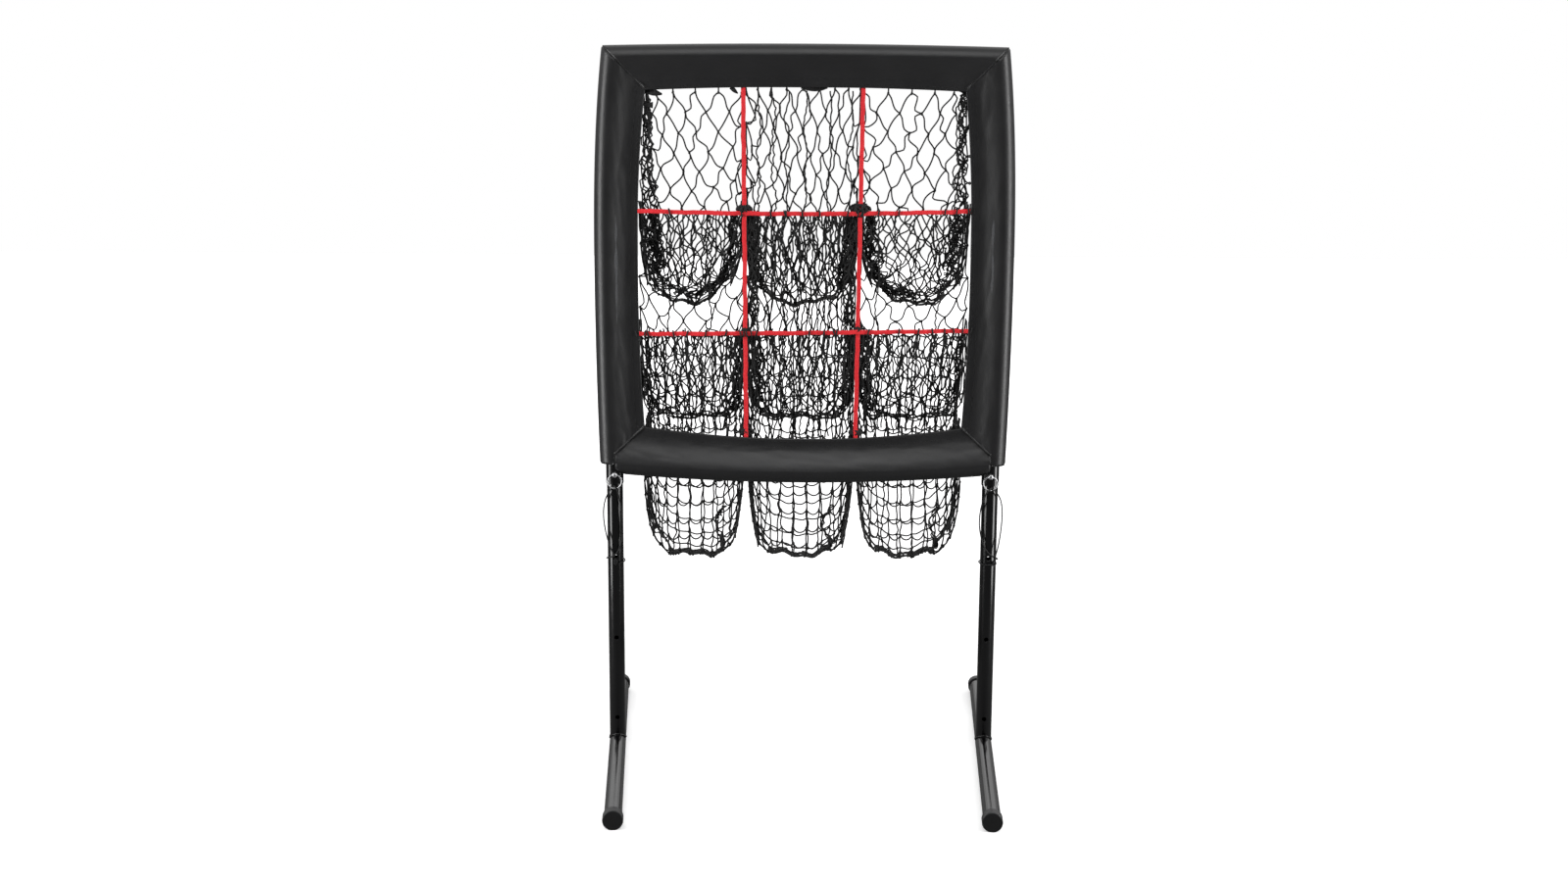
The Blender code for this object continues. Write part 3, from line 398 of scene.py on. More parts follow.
def closed_cell_foam():
    """Closed-cell polyethylene foam: mid grey and matte, with small open cells on its skin."""
    made, tree, shader, place = start_material("closed_cell_foam", 0.9)
    cells = add_node(tree, "TexVoronoi", {"Vector": place, "Scale": 1 / 0.0022}, "Distance", feature="F1")
    drive_surface(tree, shader, (cells, "#4a4b4d", "#5e5f61"), relief=[(cells, 0.0006, 0.5)])
    return made


def paper_floor(colour):
    """Matte paper: the camera sees it as white, and the object is lit by it as by a greyer one."""
    made, tree, shader, place = start_material("matte_paper_floor", 0.9)
    grain = add_node(tree, "TexNoise", {"Vector": place, "Scale": 1 / 0.15, "Detail": 3.0}, "Fac")
    mix = {"Factor": grain, "A": (*colour, 1.0), "B": linear("#fafafa")}
    white = add_node(tree, "Mix", mix, "Result", data_type="RGBA")
    seen = add_node(tree, "LightPath", output="Is Camera Ray")
    mix = {"Factor": seen, "A": linear("#6a6a6a"), "B": white}
    tree.links.new(add_node(tree, "Mix", mix, "Result", data_type="RGBA"), shader.inputs["Base Color"])
    away = add_node(tree, "VectorMath", {0: place}, "Value", operation="LENGTH")
    ramp = {"Value": away, "From Min": 0.8, "From Max": 3.0, "To Min": 0.35, "To Max": 0.95}
    fill = add_node(tree, "MapRange", ramp, "Result")
    strength = add_node(tree, "Math", {0: seen, 1: fill}, "Value", operation="MULTIPLY")
    glow = add_node(tree, "Emission", {"Color": (1.0, 1.0, 1.0, 1.0), "Strength": strength}, "Emission")
    both = add_node(tree, "AddShader", {0: shader.outputs["BSDF"], 1: glow})
    output = next(node for node in tree.nodes if node.type == "OUTPUT_MATERIAL")
    tree.links.new(both.outputs["Shader"], output.inputs["Surface"])
    return made


def tab_webbing():
    """Thin nylon tape for the ties: black with a close rib."""
    made, tree, shader, place = start_material("black_nylon_tape", 0.65)
    ribs = add_node(
        tree, "TexWave", {"Vector": place, "Scale": wave_scale(0.0012)}, "Fac", bands_direction="Z"
    )
    drive_surface(tree, shader, (ribs, "#060607", "#101011"), relief=[(ribs, 0.0002, 0.5)])
    return made


# The frame's lines


def side_edge(z):
    """Half the frame's outside width at a height."""
    if z > SIDE_X_MAX_Z:
        share = (z - SIDE_X_MAX_Z) / (CORNER_Z - SIDE_X_MAX_Z)
        return SIDE_X_MAX - (SIDE_X_MAX - CORNER_X) * share**SIDE_BOW_POWER
    share = (SIDE_X_MAX_Z - z) / (SIDE_X_MAX_Z - SIDE_END_Z)
    return SIDE_X_MAX - (SIDE_X_MAX - SIDE_X_END) * share**2


def side_band(z):
    """How wide the left or right sleeve is at a height."""
    return 0.080 + 0.006 * ((z - 0.950) / 0.320) ** 2


def top_edge(x):
    """The top sleeve's outer edge."""
    return CORNER_Z + TOP_RISE * (1 - (x / CORNER_X) ** 2)


def top_band(x):
    """How wide the top sleeve is."""
    return 0.077 + 0.004 * (x / 0.290) ** 2


def bottom_edge(x):
    """The bottom sleeve's outer edge."""
    return BOTTOM_EDGE_END_Z - BOTTOM_BOW * (1 - (x / BOTTOM_EDGE_END_X) ** 2)


def bottom_band(x):
    """How wide the bottom sleeve is."""
    return 0.083 + 0.010 * (x / 0.290) ** 2


def top_hem(x):
    """The top sleeve's hem."""
    return top_edge(x) - top_band(x)


def bottom_hem(x):
    """The bottom sleeve's hem."""
    return bottom_edge(x) + bottom_band(x)


def side_hem(z):
    """The left or right sleeve's hem, as a distance from the middle."""
    return side_edge(z) - side_band(z)


def strap_x(side, z):
    """Where an upright strap's middle runs at a height."""
    low, high = bottom_hem(0.0), top_hem(0.0)
    share = (z - low) / (high - low)
    return side * (0.1015 + 0.0065 * share) - 0.004


LEVEL_STRAPS = {"upper": (1.0243, 1.0265, 0.005), "lower": (0.7996, 0.8085, 0.001)}


def level_strap_middle(which):
    """The mean height of a level strap."""
    left_z, right_z, sag = LEVEL_STRAPS[which]
    return (left_z + right_z) / 2 - sag / 2


def level_strap_z(which, x):
    """The height of a level strap's middle."""
    left_z, right_z, sag = LEVEL_STRAPS[which]
    share = (x / side_hem(left_z) + 1) / 2
    return left_z + (right_z - left_z) * share - sag * 4 * share * (1 - share)


# Sleeves


def sleeve_profile(reach, wall=0.0, count=22):
    """Half the sleeve's section, from the outside over the tube to the hem, as (across, depth)."""
    radius = SLEEVE_R - wall
    hem = 0.0021 - wall * 0.55
    seam = reach - 0.0165
    out = []
    for i in range(count // 2):
        angle = math.pi * (1 - i / (count // 2) * 0.5)
        out.append((radius * math.cos(angle), radius * math.sin(angle)))
    fold = 0.0034 - wall * 0.8
    for i in range(count):
        t = i / (count - 1)
        across = t * seam
        ease = 0.6 * (1 - t) + 0.4 * (0.5 + 0.5 * math.cos(math.pi * t))
        out.append((across, fold + (radius - fold) * ease))
    for across, depth in ((0.35, 0.90), (0.62, 1.06), (0.86, 1.0)):
        out.append((seam + across * (reach - wall - seam), hem * depth))
    out.append((reach - wall - hem * 0.3, hem * 0.72))
    out.append((reach - wall, 0.0))
    return out


def wrinkle(a, b, seed):
    """Gentle waves over a sleeve, from about -1 to 1."""
    total = 0.0
    for k, (fa, fb, size) in enumerate(((31.0, 3.0, 0.5), (57.0, 5.0, 0.3), (96.0, 2.0, 0.22))):
        total += size * math.sin(fa * a + fb * b + seed * (1.7 + k)) * math.cos(0.37 * fa * a - fb * b + seed)
    return total


def sleeve_spot(path, t, across):
    """The (x, z) that lies across to the left of a path of (x, z) at t."""
    x, z = path(t)
    ahead, behind = path(t + 1e-4), path(t - 1e-4)
    dx, dz = ahead[0] - behind[0], ahead[1] - behind[1]
    length = math.hypot(dx, dz)
    return x - across * dz / length, z + across * dx / length


def seam_crossing(path, inside, within, beyond, across, depth):
    """The t between within and beyond at which a line along the sleeve crosses its seam."""
    for _ in range(36):
        middle = (within + beyond) / 2
        x, z = sleeve_spot(path, middle, across)
        if inside(x, z, depth, across) > 0:
            within = middle
        else:
            beyond = middle
    return within


def sleeve_skin(path, band, span, start_at, end_at, wall, seed):
    """One skin of a sleeve as a grid: around its section, then along it from seam to seam."""
    middle_t = (span[0] + span[1]) / 2
    reach = band(middle_t) - SLEEVE_R
    half = sleeve_profile(reach, wall)
    around = [(u, -v) for u, v in half] + [(u, v) for u, v in reversed(half[1:-1])]
    grid = []
    for u, v in around:
        low = seam_crossing(path, start_at, middle_t, span[0], u, v)
        high = seam_crossing(path, end_at, middle_t, span[1], u, v)
        size = math.hypot(u, v)
        line = []
        for j in range(SLEEVE_STATIONS):
            share = j / (SLEEVE_STATIONS - 1)
            share -= 0.146 * math.sin(2 * math.pi * share)  # closer together at the seams
            t = low + (high - low) * share
            near_seam = min(t - low, high - t)
            groove = -0.0020 * math.exp(-((near_seam / 0.0018) ** 2))
            across, depth = u, v
            if u <= 0:
                across += u / size * groove
                depth += v / size * groove
            elif abs(v) > 0.0012:
                way = u / reach
                lift = wrinkle(t, way * 2 + (v > 0), seed) * 0.0028 * way * (1 - way)
                lift += 0.0004 * pucker(reach - u) * math.sin(t * 2 * math.pi / 0.0135 + seed)
                lift += 0.0005 * math.exp(-((near_seam / 0.012) ** 2)) * math.sin(math.atan2(v, u) * 9 + seed)
                depth += math.copysign(groove * 0.7 + lift, v)
                across = u * (band(t) - SLEEVE_R) / reach
            x, z = sleeve_spot(path, t, across)
            line.append((x, POST_Y + depth, z))
        grid.append(line)
    return grid


def pucker(from_hem):
    """How much the cloth draws up at a distance from the hem's edge: most along the outer stitches."""
    return math.exp(-(((from_hem - 0.0155) / 0.006) ** 2))


def sew_sleeve(path, band, span, start_at, end_at, seed):
    """A sleeve between two seams: an outer and an inner skin that meet at the rims."""
    build = Build()
    outer = sleeve_skin(path, band, span, start_at, end_at, 0.0, seed)
    inner = sleeve_skin(path, band, span, start_at, end_at, SLEEVE_WALL, seed)
    n, stations = len(outer), SLEEVE_STATIONS
    for line in outer + inner:
        build.points.extend(line)
    for base in (0, n * stations):
        for i in range(n):
            a, b = base + i * stations, base + (i + 1) % n * stations
            for j in range(stations - 1):
                build.faces.append((a + j, b + j, b + j + 1, a + j + 1))
    for i in range(n):
        a, b = i * stations, (i + 1) % n * stations
        for j in (0, stations - 1):
            build.faces.append((a + j, b + j, n * stations + b + j, n * stations + a + j))
    return build, outer


def seam_tests():
    """What lies inside the right, the top and the bottom sleeve at their lower and upper ends."""

    def right_low(x, z, *_):
        if x >= SEAM_X + SEAM_GAP:
            return z - SIDE_END_Z
        return x + z - (SEAM_X + SEAM_Z + SEAM_GAP)

    def right_high(x, z, *_):
        return (x - z) - (CORNER_X - CORNER_Z + SEAM_GAP)

    def top_low(x, z, *_):
        return (CORNER_X - CORNER_Z - SEAM_GAP) - (-x - z)

    def top_high(x, z, *_):
        return (CORNER_X - CORNER_Z - SEAM_GAP) - (x - z)

    def bottom_high(x, z, depth, across):
        limit = SEAM_X - SEAM_GAP
        if across < 0 and abs(depth) < POST_HOLE_R:
            limit = min(limit, LEG_X - math.sqrt(POST_HOLE_R**2 - depth**2))
        return min(limit - x, (SEAM_X + SEAM_Z - SEAM_GAP) - (x + z))

    def bottom_low(x, *rest):
        return bottom_high(-x, *rest)

    return {"side": (right_low, right_high), "top": (top_high, top_low), "bottom": (bottom_low, bottom_high)}


def stitch_rows(rows, material, name, pitch):
    """Straight stitches laid along lines of points: each a short thread that dips at its ends."""
    length, radius = 0.0031, 0.00042
    build = Build()
    for line, outward in rows:
        line, outward = np.asarray(line, float), np.asarray(outward, float)
        walked = walk(line)
        for i in range(int((walked[-1] - length) / pitch)):
            at = 0.001 + i * pitch + length * np.array([0.0, 0.18, 0.5, 0.82, 1.0])
            points = np.stack([np.interp(at, walked, line[:, c]) for c in range(3)], 1)
            lift = np.array([-0.0006, 0.0, 0.0002, 0.0, -0.0006])[:, None]
            build.tube(points + outward * lift, radius)
    new_piece(name, build, material)


# Nets


class Pocket:
    """The shape that one net hangs on: a back panel, a rounded foot and a front panel.

    Its line from the top edge down the back, round the foot and up the front is laid out by its
    own length s, so the net is laid and relaxed flat in (x, s) and then put on the line.
    """

    def __init__(self, row, x0, x1, top, bottom, foot, tapers, spread):
        self.row, self.x0, self.x1 = row, x0, x1
        self.top, self.bottom, self.foot = top - 0.002, bottom, foot
        self.tapers, self.spread_by = tapers, spread
        self.throat = bottom - (NET_BEHIND - NET_LIP) / NET_SLOPE
        bend, low = NET_FOOT_ROUND * 0.6, foot + NET_INSET
        far, near = self.back(foot) - NET_INSET, self.front(foot) + NET_INSET

        def corner(y, way, angles):
            """Points round one corner of the foot."""
            rise = NET_FOOT_ROUND - NET_INSET
            return [(y + way * bend * (1 - math.cos(a)), low + rise * (1 - math.sin(a))) for a in angles]

        line = [(self.back(z) - NET_INSET, z) for z in np.linspace(self.top, foot + NET_FOOT_ROUND, 40)]
        line += corner(far, -1, np.linspace(0, math.pi / 2, 7)[1:])
        y0, y1 = far - bend, near + bend
        line += [(y0 + (y1 - y0) * t, low) for t in np.linspace(0, 1, 6)[1:-1]]
        line += corner(near, 1, np.linspace(math.pi / 2, 0, 7))
        line += [(self.front(z) + NET_INSET, z) for z in np.linspace(foot + NET_FOOT_ROUND, bottom, 30)[1:]]
        self.line = np.array(line)
        self.walked = walk(self.line)
        self.length = self.walked[-1]

    def front(self, z):
        """The front of the pocket at a height."""
        value = NET_LIP + NET_SLOPE * max(self.bottom - z, 0.0)
        return min(value, NET_BEHIND) if self.row == 2 else value

    def open_front(self, z):
        """The front at a height: behind the hole it is the frame's own plane."""
        return self.front(z) if z < self.bottom else NET_MOUTH

    def back(self, z):
        """The back of the pocket at a height."""
        value = NET_MOUTH + NET_WALL + NET_SLOPE * (self.top - z)
        return min(value, NET_BEHIND + NET_BOTTOM_DEPTH) if self.row == 2 else value

    def limits(self, z):
        """The least and greatest X at heights z."""
        share = np.clip((self.throat - z) / (self.throat - self.foot), 0.0, 1.0)
        belly = 4 * share * (1 - share)
        left_spread, right_spread = self.spread_by if self.row == 2 else (0.0, 0.0)
        # Behind the side sleeves the net stands out a little past their hems.
        behind = 0.010 * np.clip((self.top - 0.04 - z) / 0.10, 0.0, 1.0) * (self.row < 2)
        rounding = 0.016 * np.clip(1 - (z - self.foot) / NET_FOOT_ROUND, 0.0, 1.0) ** 2
        low = self.x0 + self.tapers[0] * share**2 - left_spread * belly + rounding
        high = self.x1 - self.tapers[1] * share**2 + right_spread * belly - rounding
        low = low - behind * (self.spread_by[0] > 0)
        high = high + behind * (self.spread_by[1] > 0)
        return low + NET_INSET, high - NET_INSET

    def at(self, s):
        """(y, z) at lengths s, with Y from the frame's middle plane."""
        return np.interp(s, self.walked, self.line[:, 0]), np.interp(s, self.walked, self.line[:, 1])

    def hold(self, x):
        """Keep flat points (x, s) inside the pocket."""
        x[:, 1] = x[:, 1].clip(0.0, self.length)
        low, high = self.limits(self.at(x[:, 1])[1])
        x[:, 0] = np.clip(x[:, 0], low, high)

    def sag(self, points):
        """Points lifted towards the foot's two corners, so that the foot hangs in an uneven curve."""
        p = np.array(points, float)
        near = np.clip(1 - (p[:, 2] - self.foot) / 0.075, 0.0, 1.0) ** 1.5
        low, high = self.limits(np.full(len(p), self.foot + 0.02))
        share = np.abs(p[:, 0] - (low + high) / 2) / ((high - low) / 2)
        p[:, 2] += (0.030, 0.004, 0.018)[self.row] * near * np.clip(share, 0.0, 1.2) ** 2.4
        # The foot is not even: some meshes hang a little lower than others.
        waves = 0.0035 * (1 + np.sin(p[:, 0] * 71 + self.row * 2)) + 0.0026 * (1 + np.sin(p[:, 0] * 163 + 1))
        p[:, 2] += waves * near
        return p

    def fall(self, s):
        """The downhill pull along s: 1 on the back panel, -1 on the front one."""
        return -(self.at(s + 0.002)[1] - self.at(s - 0.002)[1]) / 0.004


def all_pockets():
    """The nine pockets by name, on the sizes of the frame."""
    upper, lower = level_strap_middle("upper"), level_strap_middle("lower")
    rows = (("top", top_hem(0.0), upper), ("middle", upper, lower), ("bottom", lower, bottom_hem(0.0)))
    made = {}
    for index, (row, top, bottom) in enumerate(rows):
        middle = (top + bottom) / 2
        edge = side_hem(middle) - 0.004
        left, right = strap_x(-1, middle), strap_x(1, middle)
        even = (0.026, 0.026)
        outward = {"top": (0.018, 0.050), "middle": (0.014, 0.014), "bottom": even}[row]
        for column, x0, x1, far, tapers, spread_by in (
            ("left", -edge, left - 0.002, -edge, outward, (0.009, 0.0)),
            ("centre", left + 0.002, right - 0.002, right, outward if row == "middle" else even, (0.0, 0.0)),
            ("right", right + 0.002, edge, edge, outward[::-1], (0.0, 0.009)),
        ):
            above = min(top, top_hem(far))
            low = bottom_hem(far) if row == "bottom" else bottom
            made[f"{row}_{column}_pocket"] = Pocket(
                index, x0, x1, above, low, NET_FEET_Z[index], tapers, spread_by
            )
    return made


def crowded(u, left, right):
    """Where the share u of a net's width lies when its meshes are drawn together at its sides."""
    t = np.linspace(0, 1, 81)
    weight = 1 - 0.82 * left * np.exp(-((t / 0.30) ** 2)) - 0.82 * right * np.exp(-(((1 - t) / 0.30) ** 2))
    total = np.concatenate([[0.0], np.cumsum((weight[1:] + weight[:-1]) / 2)])
    return float(np.interp(u, t, total / total[-1]))


def lay_net(pocket, kind, columns, bar, excess, gather, rng):
    """A net laid on a pocket and relaxed under its own weight.

    It returns the points in (x, s), the nodes' grid, the chain of points of every bar and the
    number of rows. gather crowds the meshes towards the left and the right side, from 0 to 1.
    """
    diamond = kind == "diamond"
    step = bar
    if diamond:
        half_width = min((pocket.x1 - pocket.x0) / columns / 2, bar * 0.92)
        step = math.sqrt(bar**2 - half_width**2)
    rows = int(round(pocket.length * (1 + excess) / step))
    if diamond and rows % 2:
        rows += 1
    nodes, index = [], {}
    for j in range(rows + 1):
        s = pocket.length * j / rows
        low, high = pocket.limits(pocket.at(s)[1])
        shift = 0.5 if diamond and j % 2 else 0.0
        for i in range(columns + 1 - (1 if shift else 0)):
            x = low + (high - low) * crowded((i + shift) / columns, *gather)
            index[(i, j)] = len(nodes)
            inner = 0 < i + shift < columns and 0 < j < rows
            nodes.append((x + inner * rng.normal(0, 0.0018), s + inner * rng.normal(0, 0.0022)))
    bars = []
    for (i, j), n in index.items():
        if not diamond:
            others = ((i + 1, j), (i, j + 1))
        elif j % 2 == 0:
            others = ((i - 1, j + 1), (i, j + 1))
        else:
            others = ((i, j + 1), (i + 1, j + 1))
        for other in others:
            if other in index:
                bars.append((n, index[other], bar))
        if diamond and j % 2 == 0 and i in (0, columns) and j + 2 <= rows:
            bars.append((n, index[(i, j + 2)], 2 * step * 1.04))  # the border cord

    points = [list(n) for n in nodes]
    links, rest, lines = [], [], []
    parts = 4
    for a, b, long in bars:
        long *= 1 + rng.uniform(-0.05, 0.06)
        chain = [a]
        for k in range(1, parts):
            t = k / parts
            points.append([
                nodes[a][0] * (1 - t) + nodes[b][0] * t + rng.uniform(-0.0012, 0.0012),
                nodes[a][1] * (1 - t) + nodes[b][1] * t,
            ])
            chain.append(len(points) - 1)
        chain.append(b)
        for start, end in zip(chain, chain[1:]):
            links.append((start, end))
            rest.append(long / parts)
        lines.append(chain)

    x = np.array(points)
    links, rest = np.array(links), np.array(rest)
    fixed = np.zeros(len(x), bool)
    for (i, j), n in index.items():
        at_side = i in (0, columns) and (not diamond or j % 2 == 0)
        fixed[n] = j in (0, rows) or at_side
    mass = np.where(fixed, 0.0, 1.0)
    mass[: len(nodes)] *= 0.6  # a knot is heavier, so it moves less
    pinned = x[fixed].copy()
    wa, wb = mass[links[:, 0]], mass[links[:, 1]]
    total = np.maximum(wa + wb, 1e-9)
    count = np.bincount(links.ravel(), minlength=len(x)).clip(1)
    old = x.copy()
    for _ in range(110):
        velocity = (x - old) * 0.94
        old = x.copy()
        x = x + velocity * (mass > 0)[:, None]
        x[:, 1] += pocket.fall(x[:, 1]) * 0.00022 * (mass > 0)
        for _ in range(10):
            d = x[links[:, 1]] - x[links[:, 0]]
            length = np.linalg.norm(d, axis=1).clip(1e-9)
            over = (length - rest) / length
            short = np.where(length < 0.5 * rest, (length - 0.5 * rest) / length * 0.2, 0.0)
            push = d * (np.where(over > 0, over, short) / total)[:, None]
            for c in range(2):
                moved = np.bincount(links[:, 0], push[:, c] * wa, len(x))
                moved -= np.bincount(links[:, 1], push[:, c] * wb, len(x))
                x[:, c] += 1.8 * moved / count
            pocket.hold(x)
            x[fixed] = pinned
    # Cord keeps the bends of its packing: every bar is a little C or S shaped.
    curl = 0.065 if diamond else 0.030
    for chain in lines:
        run = x[chain[-1]] - x[chain[0]]
        length = max(float(np.linalg.norm(run)), 1e-6)
        normal = np.array([-run[1], run[0]]) / length
        bow, bend = rng.normal(0, curl) * length, rng.normal(0, curl) * length
        for point, c, e in zip(chain[1:-1], (0.75, 1.0, 0.75), (1.0, 0.0, -1.0)):
            x[point] += normal * (bow * c + bend * e)
    pocket.hold(x)
    return x, index, lines, rows


def tangle(build, spine, across, deep, strands, radius, rng, keep, curl=1.0, below=None):
    """Loose cords that run together along a spine. across is the half width at each spine point.

    What hangs under the height at which the bags fold goes to below, where that is given.
    """
    spine = np.asarray(spine, float)
    marks, smooth = walk(spine), smooth_path(spine, 6)
    walked = walk(smooth)
    length = walked[-1]
    across = np.interp(walked, marks * length / marks[-1], np.broadcast_to(across, (len(spine),)))
    along = np.gradient(smooth, axis=0)
    along /= np.linalg.norm(along, axis=1, keepdims=True).clip(1e-9)
    for _ in range(strands):
        s = np.linspace(0.0, length, int(length / 0.0042) + 4)
        phase = rng.uniform(0, 2 * math.pi, 3)
        wave, small = rng.uniform(0.035, 0.075), rng.uniform(0.014, 0.026)
        wave *= 1.0 if curl > 0.5 else 1.8
        size = curl * rng.uniform(0.2, 1.5) * 0.0035
        loop = 2 * math.pi * s / small + phase[0]
        at = (s + size * np.sin(loop)).clip(0.0, length)
        place = np.stack([np.interp(at, walked, smooth[:, c]) for c in range(3)], 1)
        tx, tz = np.interp(at, walked, along[:, 0]), np.interp(at, walked, along[:, 2])
        width = np.interp(at, walked, across)
        side = width * (0.62 * rng.uniform(-1, 1) + 0.38 * np.sin(2 * math.pi * s / wave + phase[1]))
        side += size * 0.8 * np.cos(loop)
        place[:, 0] += tz * side
        place[:, 2] -= tx * side
        place[:, 1] += deep * np.sin(2 * math.pi * s / (wave * 1.3) + phase[2])
        place = keep(place)
        under = np.flatnonzero(place[:, 2] < BAG_SPLIT_Z)
        if below is None or not len(under):
            build.tube(place, radius)
            continue
        cut = max(int(under[0]), 2)
        build.tube(place[: cut + 1], radius)
        if len(place) - cut > 2:
            below.tube(place[cut:], radius)


def clump(build, centre, sizes, radius, rng, turns):
    """Cord wound into a small untidy ball."""
    t = np.linspace(0, 1, turns * 14, endpoint=False)
    around, over = 2 * math.pi * turns * t, 2 * math.pi * 2.0 * t + rng.uniform(0, 6)
    swell = 0.80 + 0.20 * np.sin(around * 0.37 + rng.uniform(0, 6))
    tip = 0.5 * np.sin(2 * math.pi * 3 * t + 1.0)
    x = np.cos(around) * np.cos(over) - tip * np.sin(around) * np.sin(over)
    y = np.cos(around) * np.sin(over) + tip * np.sin(around) * np.cos(over)
    z = np.sin(around) * np.sqrt(1 - tip**2)
    points = np.stack([x, y, z], 1) * swell[:, None] * np.asarray(sizes) + np.asarray(centre)
    build.tube(points, radius, loop=True)


def knot_shape():
    """A small lump: an icosahedron split once, rounded and dented."""
    bm = bmesh.new()
    bmesh.ops.create_icosphere(bm, subdivisions=1, radius=1.0)
    bmesh.ops.subdivide_edges(bm, edges=bm.edges, cuts=1, use_grid_fill=True)
    for v in bm.verts:
        v.co.normalize()
        v.co *= 1 + 0.16 * math.sin(3 * v.co.x + 5 * v.co.z) * math.cos(4 * v.co.y)
    points = np.array([v.co[:] for v in bm.verts])
    faces = [[v.index for v in f.verts] for f in bm.faces]
    bm.free()
    return points, faces


KNOT_POINTS, KNOT_FACES = knot_shape()


def add_knot(build, place, size, turn):
    """A knot of the net at a place, turned in the plane of the net."""
    cos, sin = math.cos(turn), math.sin(turn)
    base = len(build.points)
    p = KNOT_POINTS * np.array([size, size * 0.8, size * 1.5])
    x = p[:, 0] * cos - p[:, 2] * sin + place[0]
    z = p[:, 0] * sin + p[:, 2] * cos + place[2]
    build.points.extend(np.stack([x, p[:, 1] + place[1], z], 1))
    build.faces.extend([tuple(base + i for i in f) for f in KNOT_FACES])


NET_PLAN = {
    # name: (mesh, columns, bar length, excess, gather at the left and right,
    #        slack cords in the bag, slack cords behind the hole)
    "top_left_pocket": ("diamond", 5, 0.040, 0.03, (0.7, 0.0), 18, 0),
    "top_centre_pocket": ("diamond", 8, 0.039, 0.05, (0.4, 0.4), 12, 6),
    "top_right_pocket": ("diamond", 5, 0.040, 0.03, (0.0, 0.6), 5, 0),
    "middle_left_pocket": ("diamond", 5, 0.040, 0.04, (0.0, 0.4), 10, 2),
    "middle_centre_pocket": ("diamond", 8, 0.039, 0.05, (0.6, 0.6), 10, 26),
    "middle_right_pocket": ("diamond", 5, 0.040, 0.04, (0.4, 0.0), 8, 2),
    **{f"bottom_{column}_pocket": ("square", 11, 0.029, 0.02, (1.0, 1.0), 0, 28)
       for column in ("left", "centre", "right")},
}


def keep_in(pocket):
    """A function that holds points inside a pocket's own space."""

    def keep(points):
        p = points.copy()
        p[:, 2] = p[:, 2].clip(pocket.foot + 0.002, pocket.top)
        low, high = pocket.limits(p[:, 2])
        p[:, 0] = np.clip(p[:, 0], low, high)
        back = np.array([pocket.back(z) for z in p[:, 2]]) - NET_INSET
        front = np.array([pocket.open_front(z) for z in p[:, 2]]) + NET_INSET
        p[:, 1] = np.clip(p[:, 1], POST_Y + front, POST_Y + np.maximum(back, front))
        return pocket.sag(p)

    return keep


def bag_spot(pocket, z, side, inset, depth=0.4):
    """A point in a bag at a height: side is -1 for its left edge and 1 for its right one."""
    low, high = (float(v) for v in pocket.limits(z))
    front = pocket.open_front(z)
    edge = low + inset if side < 0 else high - inset
    return edge, POST_Y + front + (pocket.back(z) - front) * depth, z


